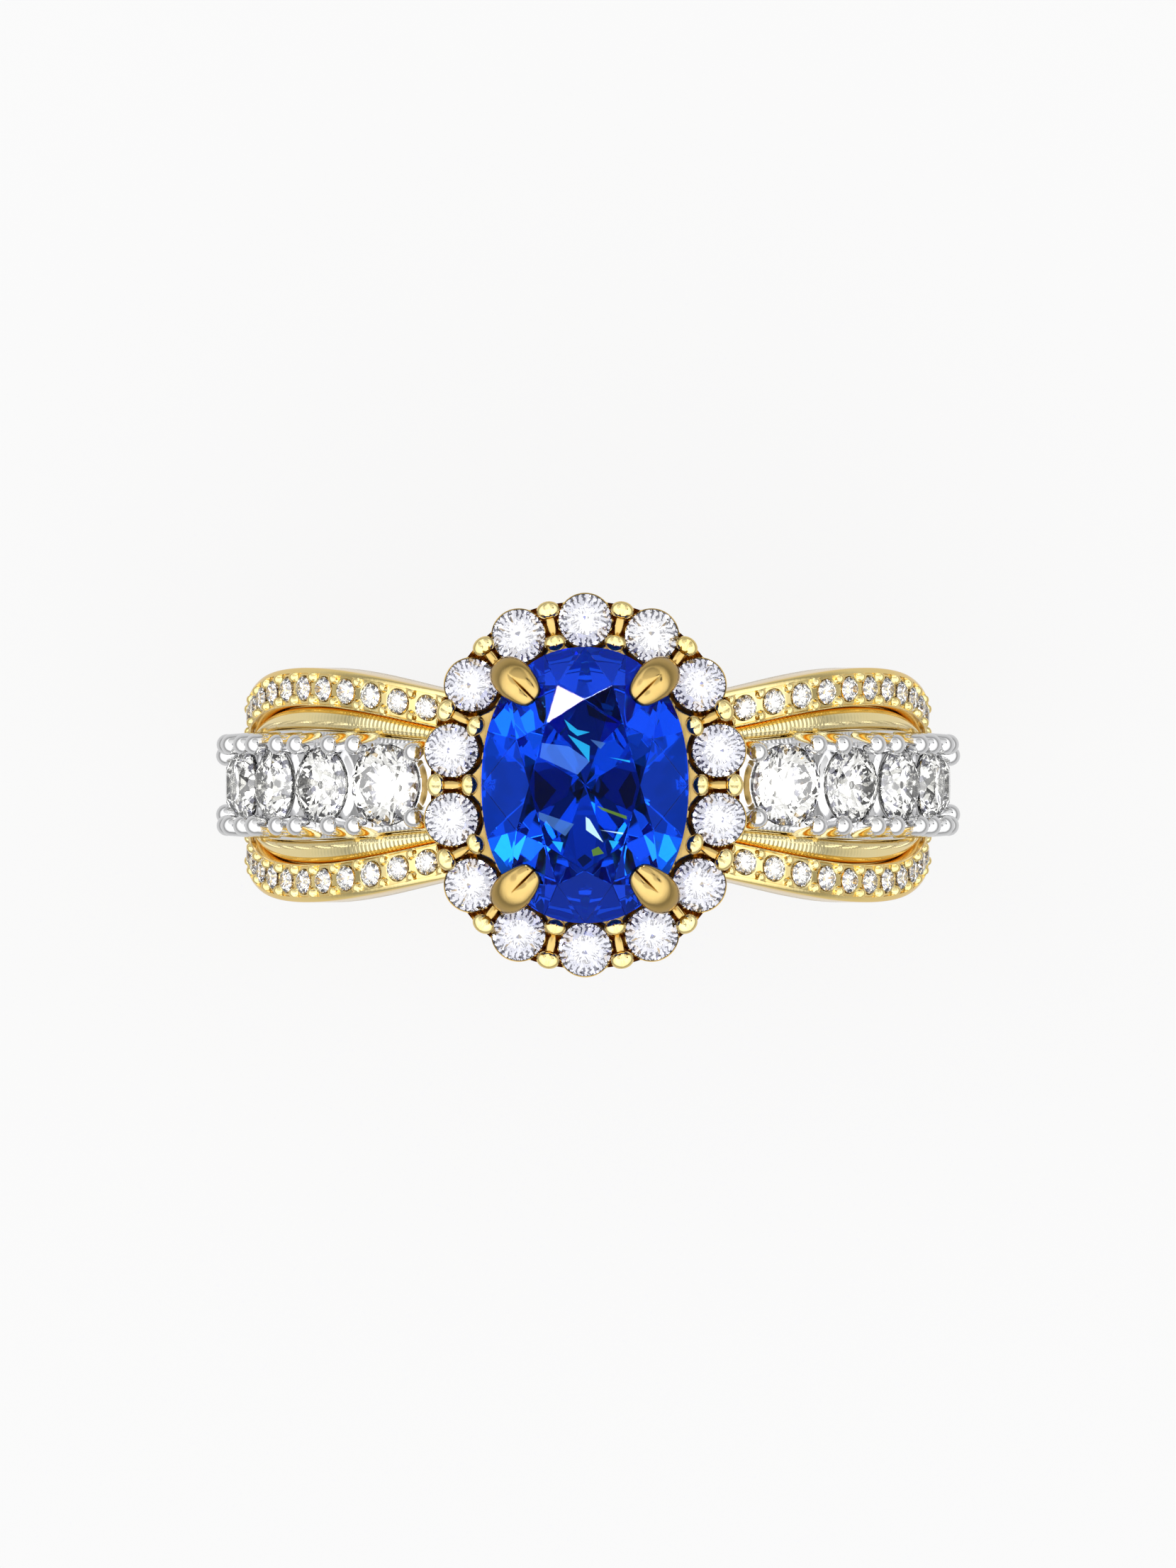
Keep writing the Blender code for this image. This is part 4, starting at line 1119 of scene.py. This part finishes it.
def add_panel(name, aim, receivers, gloss_only=False):
    """A round panel that lights only receivers; aim is its azimuth, elevation, half angle and brightness."""
    azimuth, elevation, half_angle, brightness = aim
    radius = PANEL_AWAY * MM * tan(radians(half_angle))
    data = bpy.data.lights.new(name, "AREA")
    data.shape = "DISK"
    data.size = 2 * radius
    data.energy = brightness * pi**2 * radius**2
    lamp = bpy.data.objects.new(name, data)
    scene.collection.objects.link(lamp)
    direction = toward(azimuth, elevation)
    turned = direction.to_track_quat("Z", "Y").to_matrix().to_4x4()
    lamp.matrix_world = Matrix.Translation(direction * PANEL_AWAY * MM) @ turned
    lamp.visible_camera = False
    lamp.visible_diffuse = not gloss_only
    lamp.visible_transmission = not gloss_only
    lamp.light_linking.receiver_collection = receivers


def build_panels():
    """Panels for the diamonds' dark middle and sides, and small lamps that flash on the sapphire's crown."""
    lit_by = {
        "diamonds": (DIAMOND_WHITE, DIAMOND_COOL, DIAMOND_SMALL),
        "row_diamonds": (DIAMOND_WHITE, DIAMOND_SMALL),
        "sapphire": (SAPPHIRE,),
    }
    groups = {}
    for name, materials in lit_by.items():
        groups[name] = bpy.data.collections.new(name)
        for obj in scene.objects:
            if obj.type == "MESH" and obj.data.materials and obj.data.materials[0] in materials:
                groups[name].objects.link(obj)
    add_panel("diamond_panel", DIAMOND_PANEL, groups["diamonds"])
    for i, aim in enumerate(ROW_PANELS):
        add_panel(f"row_panel_{i + 1}", aim, groups["row_diamonds"])
    for i, aim in enumerate(GLINT_LAMPS):
        add_panel(f"glint_lamp_{i + 1}", aim, groups["sapphire"], gloss_only=True)


def build_camera():
    """A long lens nearly straight above the ring."""
    data = bpy.data.cameras.new("camera")
    camera = bpy.data.objects.new("camera", data)
    scene.collection.objects.link(camera)
    at, aim = Vector((CAMERA_X, VIEW_Y, CAMERA_Z)), Vector((0.0, VIEW_Y, 0.0))
    camera.matrix_world = axis_place(at * MM, (at - aim).normalized())
    data.sensor_width = SENSOR
    data.lens = SENSOR * (CAMERA_Z - GIRDLE_Z) / VIEW_HEIGHT
    data.clip_start = 0.01
    data.clip_end = 10.0
    scene.camera = camera


def build_ring():
    """Every piece of the ring."""
    build_shank()
    fine, small = round_cut(48), round_cut(32)
    for side, side_name in SIDES:
        build_channel(side, side_name)
        build_prongs(side, side_name)
        build_row_stones(side, side_name, fine)
        for face, face_name in FACES:
            where = f"{face_name}_{side_name}"
            build_rail(side, face, where)
            build_wire(side, face, where)
            build_melee(side, face, where, small)
            build_claw(side, face, where)
    for face, face_name in FACES:
        build_post(face, face_name)
    build_gallery()
    build_basket()
    build_halo()
    build_halo_beads()
    build_halo_stones(fine)
    build_centre_stone()


build_ring()
build_floor()
build_world()
build_panels()
build_camera()

scene.view_settings.view_transform = "Standard"
scene.cycles.max_bounces = 24
scene.cycles.transmission_bounces = 16
scene.cycles.glossy_bounces = 8
